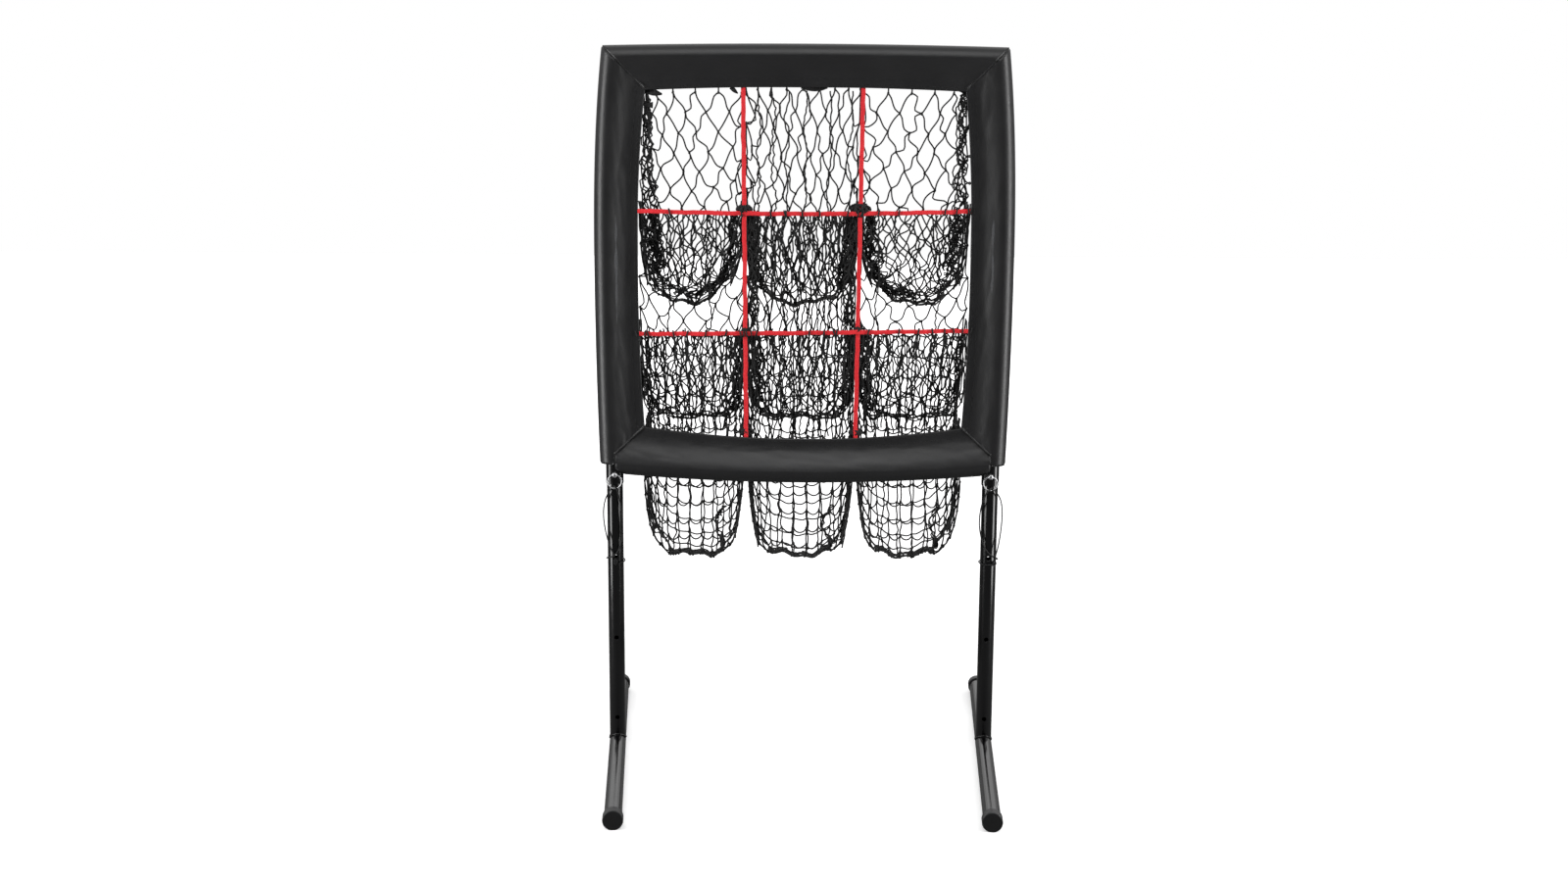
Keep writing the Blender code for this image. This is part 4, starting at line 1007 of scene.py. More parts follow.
def hang_net(name, pocket, seed, radius):
    """One pocket's net as cords and knots above and below the height at which the bags fold."""
    *plan, in_bag, in_hole = NET_PLAN[name]
    rng = np.random.default_rng(seed)
    x, index, lines, rows = lay_net(pocket, *plan, rng)
    y, z = pocket.at(x[:, 1])
    placed = pocket.sag(np.stack([x[:, 0], POST_Y + y + rng.uniform(-0.0012, 0.0012, len(x)), z], 1))
    upper, lower = Build(), Build()

    def pick(height):
        return lower if pocket.row == 2 and height < BAG_SPLIT_Z else upper

    for chain in lines:
        path = smooth_path(placed[chain], 2)
        pick(path[:, 2].mean()).tube(path, radius)
    for n in index.values():
        add_knot(pick(placed[n][2]), placed[n], radius * 1.5, rng.uniform(-0.4, 0.4))

    # The sides: cords that run from the back panel forward to the front one.
    heights = np.arange(pocket.bottom + 0.020, pocket.foot + 0.030, -0.026)
    previous = {}
    for level, height in enumerate(heights):
        back = pocket.back(height) - NET_INSET
        front = NET_MOUTH + 0.002 if height > pocket.bottom else pocket.front(height) + NET_INSET
        for side, edge in zip((-1, 1), pocket.limits(height)):
            count = max(1, int(round((back - front) / 0.026)))
            spots = []
            for k in range(count + 1):
                t = min((k + (0.5 if level % 2 and 0 < k < count else 0.0)) / count, 1.0)
                spots.append((
                    edge - side * abs(rng.normal(0, 0.0009)),
                    POST_Y + front + (back - front) * t,
                    height - rng.uniform(0.001, 0.006),
                ))
            for spot in spots:
                for other in previous.get(side, []):
                    if abs(other[1] - spot[1]) < 0.022:
                        middle = [(spot[c] + other[c]) / 2 + rng.normal(0, 0.0015) for c in range(3)]
                        middle[0] = (spot[0] + other[0]) / 2 - side * abs(rng.normal(0, 0.001))
                        path = smooth_path([other, middle, spot], 3)
                        pick(path[:, 2].mean()).tube(path, radius)
            previous[side] = spots

    # Slack cords hang down in the bag and down the back of the hole.
    keep = keep_in(pocket)
    for k in range(in_bag + in_hole):
        if k < in_bag:
            share, deep = (k + rng.uniform(0.1, 0.9)) / in_bag, 0.08 if k % 2 else 0.9
            ends = (pocket.bottom - 0.004, pocket.foot + rng.uniform(0.012, 0.050))
        else:
            share, deep = (k - in_bag + rng.uniform(0.1, 0.9)) / in_hole, 0.9
            ends = (pocket.top - 0.003, pocket.bottom - rng.uniform(0.008, 0.030))
        spine = []
        for height in np.linspace(*ends, 6):
            low, high = pocket.limits(height)
            front = pocket.open_front(height)
            spine.append((
                low + (high - low) * share + rng.normal(0, 0.003),
                POST_Y + front + (pocket.back(height) - front) * deep,
                height,
            ))
        tangle(upper, spine, 0.007, 0.001, 1, radius, rng, keep, 0.4, lower if pocket.row == 2 else None)
    if pocket.row == 2:
        # The right corner of each bag is drawn together and knotted up.
        corner = bag_spot(pocket, pocket.foot + 0.032, 1, 0.022, 0.3)
        clump(lower, corner, (0.0050, 0.0060, 0.0110), radius, rng, 5)
        folds = ((0.105, 0.030), (0.072, 0.042), (0.032, 0.022))
        fold = [bag_spot(pocket, pocket.foot + rise, 1, inset, 0.3) for rise, inset in folds]
        tangle(lower, fold, 0.005, 0.003, 3, radius, rng, keep, 0.8)
    return upper, lower, placed, index, rows


def bunch_net(name, pocket, build, radius, rng):
    """The places where a net is bunched, knotted up or rolled at its lip."""
    keep = keep_in(pocket)
    row, column, _ = name.split("_")
    inner = 1 if column == "left" else -1
    foot = pocket.foot

    def down(drops, side, insets, depth=0.4):
        """Spots beside one edge of the bag, at drops under the hole's lower edge."""
        insets = np.broadcast_to(insets, (len(drops),))
        return [bag_spot(pocket, pocket.bottom - d, side, inset, depth) for d, inset in zip(drops, insets)]

    def bunch(spine, across, deep, strands, curl):
        tangle(build, spine, across, deep, strands, radius, rng, keep, curl)

    if row == "top" and column != "centre":
        # The lip is rolled round the bag's opening, and cords fan out from the crossing of the straps.
        lip = down((0.006, 0.045, 0.085, 0.120), inner, 0.012)
        for rise, side, inset in (
            (0.034, inner, 0.016), (0.018, inner, 0.048), (0.018, -inner, 0.052), (0.040, -inner, 0.020)
        ):
            lip.append(bag_spot(pocket, foot + rise, side, inset))
        bunch(lip + down((0.100, 0.050, 0.006), -inner, 0.018), 0.013, 0.004, 4, 2.2)
        fan = down((0.006, 0.060, 0.110, 0.145), inner, 0.018)
        fan.append(bag_spot(pocket, foot + 0.020, inner, 0.060))
        wide, strands, folds = {
            "left": ((0.007, 0.010, 0.010, 0.010, 0.012), 4, 8),
            "right": ((0.008, 0.020, 0.026, 0.022, 0.014), 9, 6),
        }[column]
        bunch(fan, wide, 0.005, strands, 0.7)
        # The outer edge hangs in loose folds that widen towards the strap.
        drops = (-0.214, -0.160, -0.100, -0.040, 0.020)
        edge = down(drops, -inner, [0.006 + 0.016 * (0.214 + d) / 0.234 for d in drops], 0.15)
        edge += down((0.110,), -inner, 0.026, 0.15)
        bunch(edge, (0.004, 0.008, 0.011, 0.018, 0.021, 0.020), 0.004, folds, 1.5)
        if column == "left":
            bunch(down((0.004, 0.060, 0.120), -inner, 0.024, 0.3), 0.022, 0.005, 4, 1.2)
    if row != "bottom" and column == "centre":
        for side, strands in zip((-1, 1), {"top": (8, 13), "middle": (8, 8)}[row]):
            spine = down((0.004, 0.060, 0.115, 0.150), side, 0.014, 0.25)
            bunch(spine, (0.011, 0.016, 0.014, 0.010), 0.005, strands, 0.8)
    if row == "middle" and column == "centre":
        for side in (-1, 1):
            bunch(down((-0.215, -0.150, -0.080, -0.004), side, 0.013, 0.8), 0.012, 0.004, 7, 0.8)
    if row == "middle" and column != "centre":
        spine = down((0.004, 0.060, 0.115, 0.165), inner, 0.013, 0.25)
        bunch(spine, (0.009, 0.014, 0.012, 0.010), 0.005, 8, 0.8)
    if column != "centre":
        # Cord is knotted up where the straps cross and where they meet the bottom sleeve.
        side, big = (-1, 0.9) if column == "left" else (1, 1.25)
        if row == "bottom":
            x = strap_x(side, 0.61)
            z = bottom_hem(x)
        else:
            which, about = ("upper", 1.02) if row == "top" else ("lower", 0.80)
            z = level_strap_z(which, strap_x(side, about))
            x = strap_x(side, z)
        balls, back, rise, sizes, turns = {
            "top": (3, 0.0055, 0.007, (0.0170 * big, 0.0085, 0.0095 * big), 12),
            "middle": (2, 0.0060, 0.004, (0.0090, 0.0075, 0.0080), 10),
            "bottom": (2, 0.0070, 0.009, (0.014, 0.0075, 0.008), 10),
        }[row]
        for _ in range(balls):
            clump(build, (x, POST_Y + back, z + rise), sizes, radius, rng, turns)


def strap_wrap(build, x, z, radius, turn):
    """A turn of net cord round a level strap."""
    half, near, far = STRAP_WIDTH / 2 + radius, -0.0036, 0.0022
    path = []
    for k in range(12):
        angle = 2 * math.pi * k / 12
        cy, sz = math.cos(angle), math.sin(angle)
        path.append((
            x + turn * sz * 0.004,
            POST_Y + (near + far) / 2 + (far - near) / 2 * math.copysign(abs(cy) ** 0.6, cy),
            z + half * math.copysign(abs(sz) ** 0.6, sz),
        ))
    build.tube(path, radius, loop=True)


# Lanyards: from the knot, round the back of the leg, up one side, through the ring and down the
# other side to the knot. X and Y are from the leg's axis, Z from the floor.
LANYARD_ROUTES = {
    "left": (
        (0.0056, -0.0185, 0.3700), (0.0135, -0.0120, 0.3705), (0.0172, 0.0000, 0.3715),
        (0.0122, 0.0122, 0.3725), (0.0000, 0.0170, 0.3735), (-0.0122, 0.0122, 0.3745),
        (-0.0172, 0.0000, 0.3760), (-0.0135, -0.0125, 0.3790), (-0.0040, -0.0190, 0.3840),
        (0.0060, -0.0190, 0.3960), (0.0130, -0.0165, 0.4200), (0.0140, -0.0165, 0.4480),
        (0.0110, -0.0200, 0.4800), (0.0050, -0.0275, 0.5080), (0.0010, -0.0270, 0.5165),
        (-0.0020, -0.0185, 0.5165), (-0.0095, -0.0180, 0.5080), (-0.0175, -0.0150, 0.4920),
        (-0.0215, -0.0110, 0.4700), (-0.0205, -0.0120, 0.4450), (-0.0150, -0.0165, 0.4180),
        (-0.0080, -0.0205, 0.3980), (-0.0020, -0.0228, 0.3830),
    ),
    "right": (
        (0.0059, -0.0162, 0.3700), (-0.0030, -0.0170, 0.3700), (-0.0122, -0.0122, 0.3705),
        (-0.0172, 0.0000, 0.3715), (-0.0122, 0.0122, 0.3725), (0.0000, 0.0170, 0.3735),
        (0.0122, 0.0122, 0.3750), (0.0174, 0.0010, 0.3775), (0.0158, -0.0100, 0.3815),
        (0.0095, -0.0165, 0.3855), (0.0000, -0.0195, 0.3930), (-0.0090, -0.0180, 0.4060),
        (-0.0155, -0.0150, 0.4260), (-0.0185, -0.0120, 0.4500), (-0.0160, -0.0160, 0.4800),
        (-0.0080, -0.0265, 0.5070), (-0.0010, -0.0270, 0.5165), (0.0030, -0.0185, 0.5165),
        (0.0120, -0.0175, 0.5080), (0.0200, -0.0130, 0.4930), (0.0235, -0.0100, 0.4700),
        (0.0225, -0.0120, 0.4430), (0.0190, -0.0155, 0.4150), (0.0155, -0.0180, 0.3980),
        (0.0130, -0.0185, 0.3885), (0.0125, -0.0180, 0.3815),
    ),
}


# Settings


class NetSettings(bpy.types.PropertyGroup):
    """Sizes of the knotted nets."""

    cord: bpy.props.FloatProperty(
        name="Cord", description="Diameter of the net cord", default=0.0030, unit="LENGTH"
    )


class SewingSettings(bpy.types.PropertyGroup):
    """Sizes of the sewing on the sleeves."""

    pitch: bpy.props.FloatProperty(
        name="Stitch pitch", description="From one stitch to the next", default=0.0042, unit="LENGTH"
    )
    outer_row: bpy.props.FloatProperty(
        name="Outer row", description="From the hem's edge to the outer row", default=0.0150, unit="LENGTH"
    )
    inner_row: bpy.props.FloatProperty(
        name="Inner row", description="From the hem's edge to the inner row", default=0.0060, unit="LENGTH"
    )


class StageSettings(bpy.types.PropertyGroup):
    """The camera and the light."""

    key_power: bpy.props.FloatProperty(
        name="Key light", description="Power of the overhead softbox", default=32.0, subtype="POWER"
    )
    side_power: bpy.props.FloatProperty(
        name="Side lights", description="Power of each side softbox", default=18.0, subtype="POWER"
    )
    floor_colour: bpy.props.FloatVectorProperty(
        name="Floor", description="Colour of the floor", default=linear("#f2f2f2")[:3], size=3,
        subtype="COLOR",
    )


# Stage


def add_floor(scene, colour, reach=14.0):
    """A paper floor under the object."""
    mesh = bpy.data.meshes.new("floor")
    corners = [(-reach, -reach, 0), (reach, -reach, 0), (reach, reach, 0), (-reach, reach, 0)]
    mesh.from_pydata(corners, [], [(0, 1, 2, 3)])
    mesh.materials.append(paper_floor(colour))
    floor = bpy.data.objects.new("floor", mesh)
    scene.collection.objects.link(floor)


def light_room(scene):
    """A room that is dim in front of the object and white behind and above it."""
    world = bpy.data.worlds.new("studio")
    world.use_nodes = True
    scene.world = world
    tree = world.node_tree
    tree.nodes.clear()
    direction = add_node(tree, "TexCoord", output="Generated")
    parts = add_node(tree, "SeparateXYZ", {"Vector": direction})
    ramps = []
    for axis, start, stop, low, high in (
        ("Y", -0.45, 0.60, 0.05, 1.15),
        ("Z", 0.03, 0.30, 0.14, 1.0),  # darker level with the object, so that its outlines stay dark
        ("Z", 0.45, 0.95, 0.0, 0.60),
    ):
        ramp = {"From Min": start, "From Max": stop, "To Min": low, "To Max": high}
        ramps.append(add_node(tree, "MapRange", {"Value": parts.outputs[axis], **ramp}, "Result"))
    behind = add_node(tree, "Math", {0: ramps[0], 1: ramps[1]}, "Value", operation="MULTIPLY")
    level = add_node(tree, "Math", {0: behind, 1: ramps[2]}, "Value", operation="MAXIMUM")
    seen = add_node(tree, "LightPath", output="Is Camera Ray")
    shown = add_node(tree, "Math", {0: level, 1: seen}, "Value", operation="MAXIMUM")
    white = add_node(tree, "Background", {"Color": (1.0, 1.0, 1.0, 1.0), "Strength": shown}, "Background")
    add_node(tree, "OutputWorld", {"Surface": white})


def add_softbox(scene, name, place, aim, size, power):
    """A rectangular area light at place that faces aim."""
    data = bpy.data.lights.new(name, "AREA")
    data.shape = "RECTANGLE"
    data.size, data.size_y = size
    data.energy = power
    lamp = bpy.data.objects.new(name, data)
    lamp.location = place
    lamp.rotation_euler = (Vector(aim) - Vector(place)).to_track_quat("-Z", "Y").to_euler()
    lamp.visible_camera = False
    scene.collection.objects.link(lamp)


def add_camera(scene):
    """The camera, at the place that the photograph's perspective gives."""
    data = bpy.data.cameras.new("camera")
    data.lens = CAMERA_LENS
    data.sensor_width = 36.0
    camera = bpy.data.objects.new("camera", data)
    camera.location = CAMERA_PLACE
    roll = Matrix.Rotation(math.radians(CAMERA_ROLL), 4, "Z")
    pitch = Matrix.Rotation(math.radians(CAMERA_PITCH), 4, "X")
    camera.rotation_euler = (pitch @ roll).to_euler()
    scene.collection.objects.link(camera)
    scene.camera = camera


# Operators, each after the functions that are its own


class PITCHNET_OT_camera_stage(bpy.types.Operator):
    """Make the floor, the studio light and the camera"""

    bl_idname = "pitchnet.camera_stage"
    bl_label = "Stage, Light and Camera"

    def execute(self, context):
        scene = context.scene
        settings = scene.pitchnet_stage
        add_floor(scene, settings.floor_colour)
        light_room(scene)
        key_size, side_size = (2.4, 1.8), (0.42, 1.7)
        add_softbox(scene, "key_softbox", (0.0, -1.9, 3.1), (0.0, POST_Y, 0.85), key_size, settings.key_power)
        for (name, side), angle in zip(SIDES, (67.0, 70.0)):
            turn = math.radians(angle)
            place = (side * 1.45 * math.sin(turn), POST_Y - 1.45 * math.cos(turn), 0.88)
            aim = (side * 0.36, POST_Y, 0.88)
            add_softbox(scene, name + "_softbox", place, aim, side_size, settings.side_power)
        add_camera(scene)
        scene.view_settings.view_transform = "Standard"
        return {"FINISHED"}


def weld_bead(side):
    """The bead where a leg stands on its foot tube."""
    build, steps, path = Build(), 56, []
    place, radius = leg_place(side), LEG_R + 0.0006
    for k in range(steps):
        angle = 2 * math.pi * k / steps
        a, b = radius * math.cos(angle), radius * math.sin(angle)
        rise = math.sqrt(max((FOOT_R + 0.0008) ** 2 - min(abs(a), FOOT_R) ** 2, 0.0))
        path.append(place(a, b, FOOT_Z + rise + 0.00018 * math.sin(angle * 17)))
    bead = [0.0014 + 0.0002 * math.sin(2 * math.pi * k / steps * 14) for k in range(steps)]
    build.tube(path, bead, 8, True)
    return build


class PITCHNET_OT_tubes(bpy.types.Operator):
    """Finish the tubes, caps and elbows, and add the weld beads at the feet"""

    bl_idname = "pitchnet.tubes"
    bl_label = "Tubes, Caps and Welds"

    def execute(self, context):
        paint = gloss_painted_steel()
        finishes = {
            ("_tube", "_leg", "_upright", "_rail", "_tee_stub"): paint,
            ("_cap",): moulded_cap_plastic(),
            ("_elbow",): cast_elbow_plastic(),
        }
        for name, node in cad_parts.items():
            for endings, finish in finishes.items():
                if name.endswith(endings):
                    for slot in node.material_slots:
                        slot.material = finish
            if name.endswith("_cap"):
                edge = node.modifiers.new("moulded_edge", "BEVEL")
                edge.width = 0.0009
                edge.segments = 3
                edge.limit_method = "ANGLE"
                edge.angle_limit = math.radians(35)
                edge.harden_normals = False
        for name, side in SIDES:
            new_piece(name + "_weld_bead", weld_bead(side), paint, body="base")
        return {"FINISHED"}


def foam_spot(name, spot, normal):
    """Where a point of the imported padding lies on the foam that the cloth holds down."""
    x, y, z = spot
    dent = 0.0003 * math.sin(x * 260 + z * 190) * math.sin(z * 310 + y * 150)
    place = spot - normal * (0.0002 + abs(dent))
    if name == "top":
        across, reach = top_edge(x) - SLEEVE_R - z, top_band(x) - SLEEVE_R
    elif name == "bottom":
        across, reach = z - bottom_edge(x) - SLEEVE_R, bottom_band(x) - SLEEVE_R
    else:
        across, reach = side_edge(z) - SLEEVE_R - abs(x), side_band(z) - SLEEVE_R
    if across > 0.0:
        # The cloth presses the foam flat towards the hem, but not into the upright.
        skin = [q for q in sleeve_profile(reach, SLEEVE_WALL) if q[0] >= 0.0]
        room = float(np.interp(across, [q[0] for q in skin], [q[1] for q in skin])) - FIT_GAP
        out = abs(abs(x) - LEG_X)
        if name in ("left", "right") and out < UPRIGHT_R:
            room = max(room, math.sqrt(UPRIGHT_R**2 - out**2))
        place.y = POST_Y + max(-room, min(room, place.y - POST_Y))
    return place


class PITCHNET_OT_padding(bpy.types.Operator):
    """Make the foam round the tubes inside the sleeves"""

    bl_idname = "pitchnet.padding"
    bl_label = "Foam Padding"

    def execute(self, context):
        foam = closed_cell_foam()
        for name in ("left", "right", "top", "bottom"):
            bm = bmesh.new()
            bm.from_mesh(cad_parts[name + "_padding"].data)
            bmesh.ops.remove_doubles(bm, verts=bm.verts, dist=1e-6)
            bmesh.ops.subdivide_edges(bm, edges=bm.edges, cuts=1, use_grid_fill=True)
            bm.normal_update()
            moved = [foam_spot(name, v.co, v.normal) for v in bm.verts]
            for v, place in zip(bm.verts, moved):
                v.co = place
            mesh = bpy.data.meshes.new(name + "_foam")
            bm.to_mesh(mesh)
            bm.free()
            mesh.materials.clear()
            mesh.materials.append(foam)
            mesh.shade_smooth()
            mesh.set_sharp_from_angle(angle=math.radians(50))
            made = bpy.data.objects.new(name + "_foam", mesh)
            context.scene.collection.objects.link(made)
            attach(made, "frame")
            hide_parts(name + "_padding")
        return {"FINISHED"}


def hem_lines(grid, reach, distances):
    """Lines on both faces of a sleeve at distances from its hem's edge, each with its outward way."""
    profile = sleeve_profile(reach)
    lines = []
    for distance in distances:
        want = reach - distance
        best = min(i for i, (across, _) in enumerate(profile) if across >= want)
        t = (profile[best][0] - want) / max(profile[best][0] - profile[best - 1][0], 1e-6)
        for index, outward in ((best, -1.0), (len(grid) - best, 1.0)):
            beside = grid[index - 1 if outward < 0 else (index + 1) % len(grid)]
            line = [
                [a[c] + (b[c] - a[c]) * t for c in range(3)]
                for a, b in zip(grid[index][2:-2], beside[2:-2])
            ]
            lines.append((line, outward))
    return lines


class PITCHNET_OT_sleeves(bpy.types.Operator):
    """Sew the four sleeves that cover the frame"""

    bl_idname = "pitchnet.sleeves"
    bl_label = "Sleeves"

    def execute(self, context):
        sewing = context.scene.pitchnet_sewing
        vinyl, thread = coated_vinyl(), sewing_thread()

        def right_path(z):
            return side_edge(z) - SLEEVE_R, z

        def top_path(t):
            return -t, top_edge(t) - SLEEVE_R

        def bottom_path(x):
            return x, bottom_edge(x) + SLEEVE_R

        tests = seam_tests()
        side = (right_path, side_band, (SIDE_END_Z - 0.002, CORNER_Z + 0.03), *tests["side"])
        half = CORNER_X + 0.03
        top = (top_path, top_band, (-half, half), *tests["top"])
        half = SEAM_X + 0.03
        bottom = (bottom_path, bottom_band, (-half, half), *tests["bottom"])
        # Painted shade: a dark cord in each mitre seam stands for the shade in its crease.
        seam_shade, toward = Build(), SEAM_GAP / 2
        plans = {"right": (side, 1.0), "left": (side, 4.0), "top": (top, 2.0), "bottom": (bottom, 3.0)}
        for name, (plan, seed) in plans.items():
            flip = name == "left"  # the left sleeve is sewn as a right one and mirrored
            build, grid = sew_sleeve(*plan, seed)
            if flip:
                build.mirror()
            sleeve = name + "_sleeve"
            made = new_piece(sleeve + "_cloth", build, vinyl, sleeve)
            middle = [line[SLEEVE_STATIONS // 2] for line in grid]
            around = sum(math.dist(a, b) for a, b in zip(middle, middle[1:] + middle[:1]))
            along = max(sum(math.dist(a, b) for a, b in zip(line, line[1:])) for line in grid)
            band, span = plan[1:3]
            reach = band((span[0] + span[1]) / 2) - SLEEVE_R
            rows = []
            for line, outward in hem_lines(grid, reach, (sewing.inner_row, sewing.outer_row)):
                line = np.array(mirrored(line) if flip else line) + [0.0, outward * 0.0001, 0.0]
                rows.append((line, (0.0, outward, 0.0)))
            stitch_rows(rows, thread, sleeve + "_stitches", sewing.pitch)
            if plan is side:
                # Painted shade: a dull black cord, half way between the two sleeves that meet in each mitre
                # and sunk into the groove, stands for the shade in the seam's crease.
                upper = [(x - toward, y, z + toward) for x, y, z in (line[-1] for line in grid)]
                lower = [
                    (x - toward, y, z - toward) if x < SEAM_X else (x, y, z)
                    for x, y, z in (line[0] for line in grid)
                ]
                for ring in (upper, lower):
                    ring = [(x, POST_Y + (y - POST_Y) * 0.93, z) for x, y, z in ring]
                    seam_shade.tube(mirrored(ring) if flip else ring, 0.0010, 6, True)
        # The cord of painted seam shade, in the dull black thread's finish.
        new_piece("painted_seam_shade", seam_shade, thread)
        return {"FINISHED"}


class PITCHNET_OT_straps(bpy.types.Operator):
    """Weave the four red straps that make the nine holes"""

    bl_idname = "pitchnet.straps"
    bl_label = "Red Straps"

    def execute(self, context):
        w, t = STRAP_WIDTH / 2, STRAP_THICKNESS / 2
        round_r = t * 0.8
        outline = []
        for cx, cy, start in ((w, t, 0), (-w, t, 90), (-w, -t, 180), (w, -t, 270)):
            for k in range(3):
                angle = math.radians(start + 45 * k)
                outline.append((
                    cx - math.copysign(round_r, cx) + round_r * math.cos(angle),
                    cy - math.copysign(round_r, cy) + round_r * math.sin(angle),
                ))
        straps = []
        upright_finish, level_finish = red_webbing("Z"), red_webbing("X")
        for name, side in SIDES:
            middle = strap_x(side, 0.9)
            heights = np.linspace(bottom_hem(middle) - 0.004, top_hem(middle) + 0.004, 120)
            centre = [(strap_x(side, z), z) for z in heights]
            straps.append((name, centre, False, upright_finish, STRAP_DEPTH))
        for name, (left_z, *_) in LEVEL_STRAPS.items():
            end = side_hem(left_z) + 0.001
            centre = [(x, level_strap_z(name, x)) for x in np.linspace(-end, end, 130)]
            straps.append((name, centre, True, level_finish, -STRAP_DEPTH))
        rng = np.random.default_rng(7)
        for name, centre, level, finish, depth in straps:
            build, rings = Build(), []
            phase = rng.uniform(0, 6, 4)
            for k, (x, z) in enumerate(centre):
                wave = 0.00035 * math.sin(k * 0.37 + phase[0]) + 0.0002 * math.sin(k * 1.1 + phase[1])
                roll = 0.10 * math.sin(k * 0.21 + phase[2])
                ring = []
                for a, b in outline:
                    y = POST_Y + depth + (b + a * roll)
                    ring.append((x, y, z + a + wave) if level else (x + a + wave, y, z))
                rings.append(ring)
            build.skin(rings)
            new_piece(name + "_webbing", build, finish, name + "_strap", sharp=60)
        return {"FINISHED"}


class PITCHNET_OT_nets(bpy.types.Operator):
    """Knot and hang the nine net pockets"""

    bl_idname = "pitchnet.nets"
    bl_label = "Net Pockets"

    def execute(self, context):
        radius = context.scene.pitchnet_nets.cord / 2
        cord = twisted_cord("knotted_polyester_net_cord", "#050506", "#0e0e0f", 0.0016)
        rng = np.random.default_rng(23)
        for seed, (name, pocket) in enumerate(all_pockets().items()):
            upper, lower, placed, index, rows = hang_net(name, pocket, 100 + seed, radius)
            for (_, j), n in index.items():
                if j not in (0, rows):
                    continue
                # The net's edge is tied to a strap, or to the hem of the top or bottom sleeve.
                spot, lip = placed[n], j == rows
                if pocket.row == 0 and not lip:
                    target = (spot[0], POST_Y + 0.0005, top_hem(spot[0]) + 0.002)
                elif pocket.row == 2 and lip:
                    target = (spot[0], POST_Y + 0.0035, bottom_hem(spot[0]) - 0.003)
                else:
                    # The top row's lips and the middle row's upper edges share the upper strap.
                    z = level_strap_z("upper" if pocket.row + lip == 1 else "lower", spot[0])
                    if rng.random() < 0.45:
                        strap_wrap(upper, spot[0], z, radius, rng.uniform(-0.6, 0.6))
                    target = (spot[0], POST_Y + 0.0022, z + 0.001 if lip else z - 0.0035)
                middle = [(spot[c] + target[c]) / 2 for c in range(3)]
                upper.tube(smooth_path([spot, middle, target], 2), radius)
            bunch_net(name, pocket, upper, radius, np.random.default_rng(300 + seed))
            new_piece(name.replace("pocket", "net"), upper, cord, name)
            if lower.points:
                bag = new_piece(name.replace("pocket", "bag_net"), lower, cord)
                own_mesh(bag)
        return {"FINISHED"}


# Tapes that tie the nets to the frame: (x, z, half width) along each of them.
TIE_TAPES = (
    ((-0.2985, 1.2400, 0.0030), (-0.2860, 1.2385, 0.0052), (-0.2720, 1.2355, 0.0060),
     (-0.2580, 1.2325, 0.0016)),
    ((-0.2990, 1.2160, 0.0035), (-0.2880, 1.2140, 0.0028), (-0.2745, 1.2130, 0.0058)),
    ((-0.2970, 1.1960, 0.0040), (-0.2900, 1.1900, 0.0030), (-0.2850, 1.1810, 0.0045)),
    ((-0.1340, 1.2460, 0.0040), (-0.1275, 1.2395, 0.0036), (-0.1215, 1.2345, 0.0010)),
    ((-0.0080, 1.2455, 0.0020), (0.0100, 1.2435, 0.0042), (0.0260, 1.2440, 0.0045), (0.0400, 1.2452, 0.0012)),
    ((0.2700, 1.2440, 0.0016), (0.2860, 1.2405, 0.0046), (0.2960, 1.2310, 0.0060), (0.3020, 1.2120, 0.0050),
     (0.3040, 1.1930, 0.0022)),
    ((0.2990, 1.1840, 0.0036), (0.2940, 1.1760, 0.0028), (0.2890, 1.1680, 0.0042)),
)


class PITCHNET_OT_tie_tapes(bpy.types.Operator):
    """Cut the short tapes that tie the nets to the frame's inner corners"""

    bl_idname = "pitchnet.tie_tapes"
    bl_label = "Tie Tapes"

    def execute(self, context):
        build = Build()
        half = 0.0006
        for k, tape in enumerate(TIE_TAPES):
            path = smooth_path(tape, 5)
            rings = []
            for i, (x, z, width) in enumerate(path):
                ahead, behind = path[min(i + 1, len(path) - 1)], path[max(i - 1, 0)]
                dx, dz = ahead[0] - behind[0], ahead[1] - behind[1]
                length = math.hypot(dx, dz)
                nx, nz = -dz / length, dx / length
                y = POST_Y + 0.0048 + 0.0010 * math.sin(i * 0.5 + k)
                tilt = 0.35 * math.sin(i * 0.3 + k)
                rings.append([
                    (x + nx * width * u, y + half * v + width * u * tilt, z + nz * width * u)
                    for u, v in ((1, -0.6), (1, 0.6), (0, 1), (-1, 0.6), (-1, -0.6), (0, -1))
                ])
            build.skin(rings)
        new_piece("tie_tapes", build, tab_webbing(), sharp=50)
        return {"FINISHED"}


def turn_pin(side):
    """A pull pin: a turned knob in front of the upright, and a shank right through it."""
    shoulder, tail = -(UPRIGHT_R + FIT_GAP), UPRIGHT_R + 0.004
    head = -(UPRIGHT_R + FIT_GAP + 0.009)
    place, sides = leg_place(side), 32
    build, rings = Build(), []
    for radius, along in (
        (0.0004, head - 0.0001), (0.0020, head), (0.0033, head + 0.0003), (0.0043, head + 0.0011),
        (0.0048, head + 0.0023), (0.0048, shoulder - 0.0006), (0.0045, shoulder - 0.0001), (0.0040, shoulder),
        (0.0040, tail - 0.0018), (0.0035, tail - 0.0006), (0.0022, tail - 0.0001), (0.0004, tail),
    ):
        angles = [2 * math.pi * i / sides for i in range(sides)]
        rings.append([place(radius * math.cos(a), along, PIN_Z + radius * math.sin(a)) for a in angles])
    build.skin(rings)
    return build


def bend_ring(side, top_z):
    """An open ring of wire through the pin's knob, with its split at the lower right."""
    wire, ring_r, split = 0.0013, 0.01285, math.radians(-73.0)
    place, centre_z = leg_place(side), top_z - ring_r - wire
    eye_y = -(UPRIGHT_R + FIT_GAP + 0.0054)
    half = 0.0024 / ring_r / 2
    angles = np.linspace(split + half, split + 2 * math.pi - half, 72)
    path = [place(ring_r * math.cos(a), eye_y, centre_z + ring_r * math.sin(a)) for a in angles]
    radii = [wire * 0.72, *[wire] * (len(path) - 2), wire * 0.72]
    build = Build()
    build.tube(path, radii, 14)
    return build


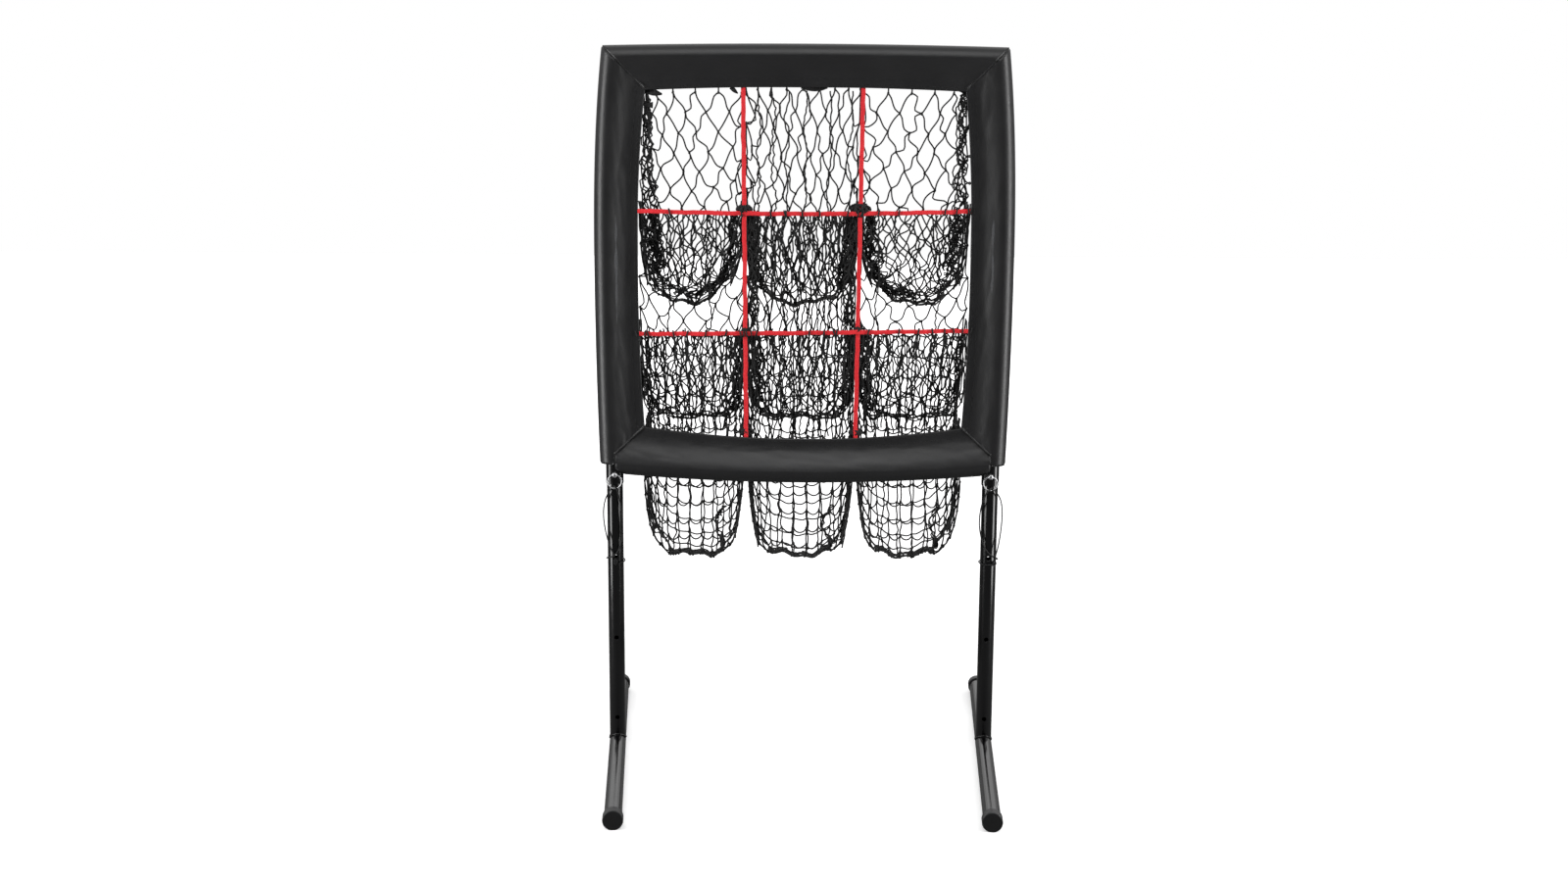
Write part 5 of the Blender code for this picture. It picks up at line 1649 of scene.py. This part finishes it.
class PITCHNET_OT_pins(bpy.types.Operator):
    """Turn the two pull pins and bend their open rings"""

    bl_idname = "pitchnet.pins"
    bl_label = "Pins and Rings"

    def execute(self, context):
        steel = plated_steel()
        for name, side in SIDES:
            ring_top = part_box(name + "_ring")[1].z
            for kind, build, part, sharp in (
                ("_pull_pin", turn_pin(side), "_pin", 40),
                ("_split_ring", bend_ring(side, ring_top), "_ring", 50),
            ):
                new_piece(
                    name + kind, build, steel, name + part, name + part + "_body", sharp
                )
        return {"FINISHED"}


class PITCHNET_OT_lanyards(bpy.types.Operator):
    """Run the two lanyards from the rings to their knots on the legs"""

    bl_idname = "pitchnet.lanyards"
    bl_label = "Lanyards and Knots"

    def execute(self, context):
        cord = twisted_cord("braided_polyester_cord", "#060607", "#121213", 0.0012)
        for name, side in SIDES:
            place = leg_place(side)
            route = smooth_path([place(*p) for p in LANYARD_ROUTES[name]], 8)
            build = Build()
            build.tube(route, CORD_D / 2, 10)
            low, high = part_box(name + "_lanyard_knot")
            middle = (low + high) / 2
            curve = []
            for k in range(60):
                a = 2 * math.pi * k / 60
                across = (math.sin(a) + 2 * math.sin(2 * a)) / 3
                up = (math.cos(a) - 2 * math.cos(2 * a)) / 3
                curve.append((
                    middle.x + across * 0.0033, middle.y - math.sin(3 * a) * 0.0020, middle.z + up * 0.0048
                ))
            knot = Build()
            knot.tube(curve, CORD_D / 2 * 0.98, 8, True)
            tie = new_piece(name + "_knot", knot, cord, name + "_lanyard_knot")
            made = new_piece(name + "_lanyard_cord", build, cord, name + "_lanyard")
            length = float(walk(route)[-1])
            for piece in (made, tie):
                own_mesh(piece)
        return {"FINISHED"}


class PITCHNET_PT_panel(bpy.types.Panel):
    """The pieces of the pitching net, in the order in which they are made"""

    bl_idname = "PITCHNET_PT_panel"
    bl_label = "Pitching Net"
    bl_space_type = "VIEW_3D"
    bl_region_type = "UI"
    bl_category = "Pitching Net"

    def draw(self, context):
        for name, group in GROUPS.items():
            box = self.layout.box()
            for key in group.__annotations__:
                box.prop(getattr(context.scene, name), key)
        for operator in OPERATORS:
            self.layout.operator(operator.bl_idname)


OPERATORS = (
    PITCHNET_OT_camera_stage,
    PITCHNET_OT_lanyards,
    PITCHNET_OT_tubes,
    PITCHNET_OT_padding,
    PITCHNET_OT_sleeves,
    PITCHNET_OT_straps,
    PITCHNET_OT_nets,
    PITCHNET_OT_tie_tapes,
    PITCHNET_OT_pins,
)
GROUPS = {"pitchnet_nets": NetSettings, "pitchnet_sewing": SewingSettings, "pitchnet_stage": StageSettings}
CLASSES = (*GROUPS.values(), *OPERATORS, PITCHNET_PT_panel)


def register():
    for cls in CLASSES:
        bpy.utils.register_class(cls)
    for name, group in GROUPS.items():
        setattr(bpy.types.Scene, name, bpy.props.PointerProperty(type=group))


def unregister():
    for name in GROUPS:
        delattr(bpy.types.Scene, name)
    for cls in reversed(CLASSES):
        bpy.utils.unregister_class(cls)


def main():
    register()
    for operator in OPERATORS:
        group, name = operator.bl_idname.split(".")
        getattr(getattr(bpy.ops, group), name)()


if __name__ == "__main__":
    main()
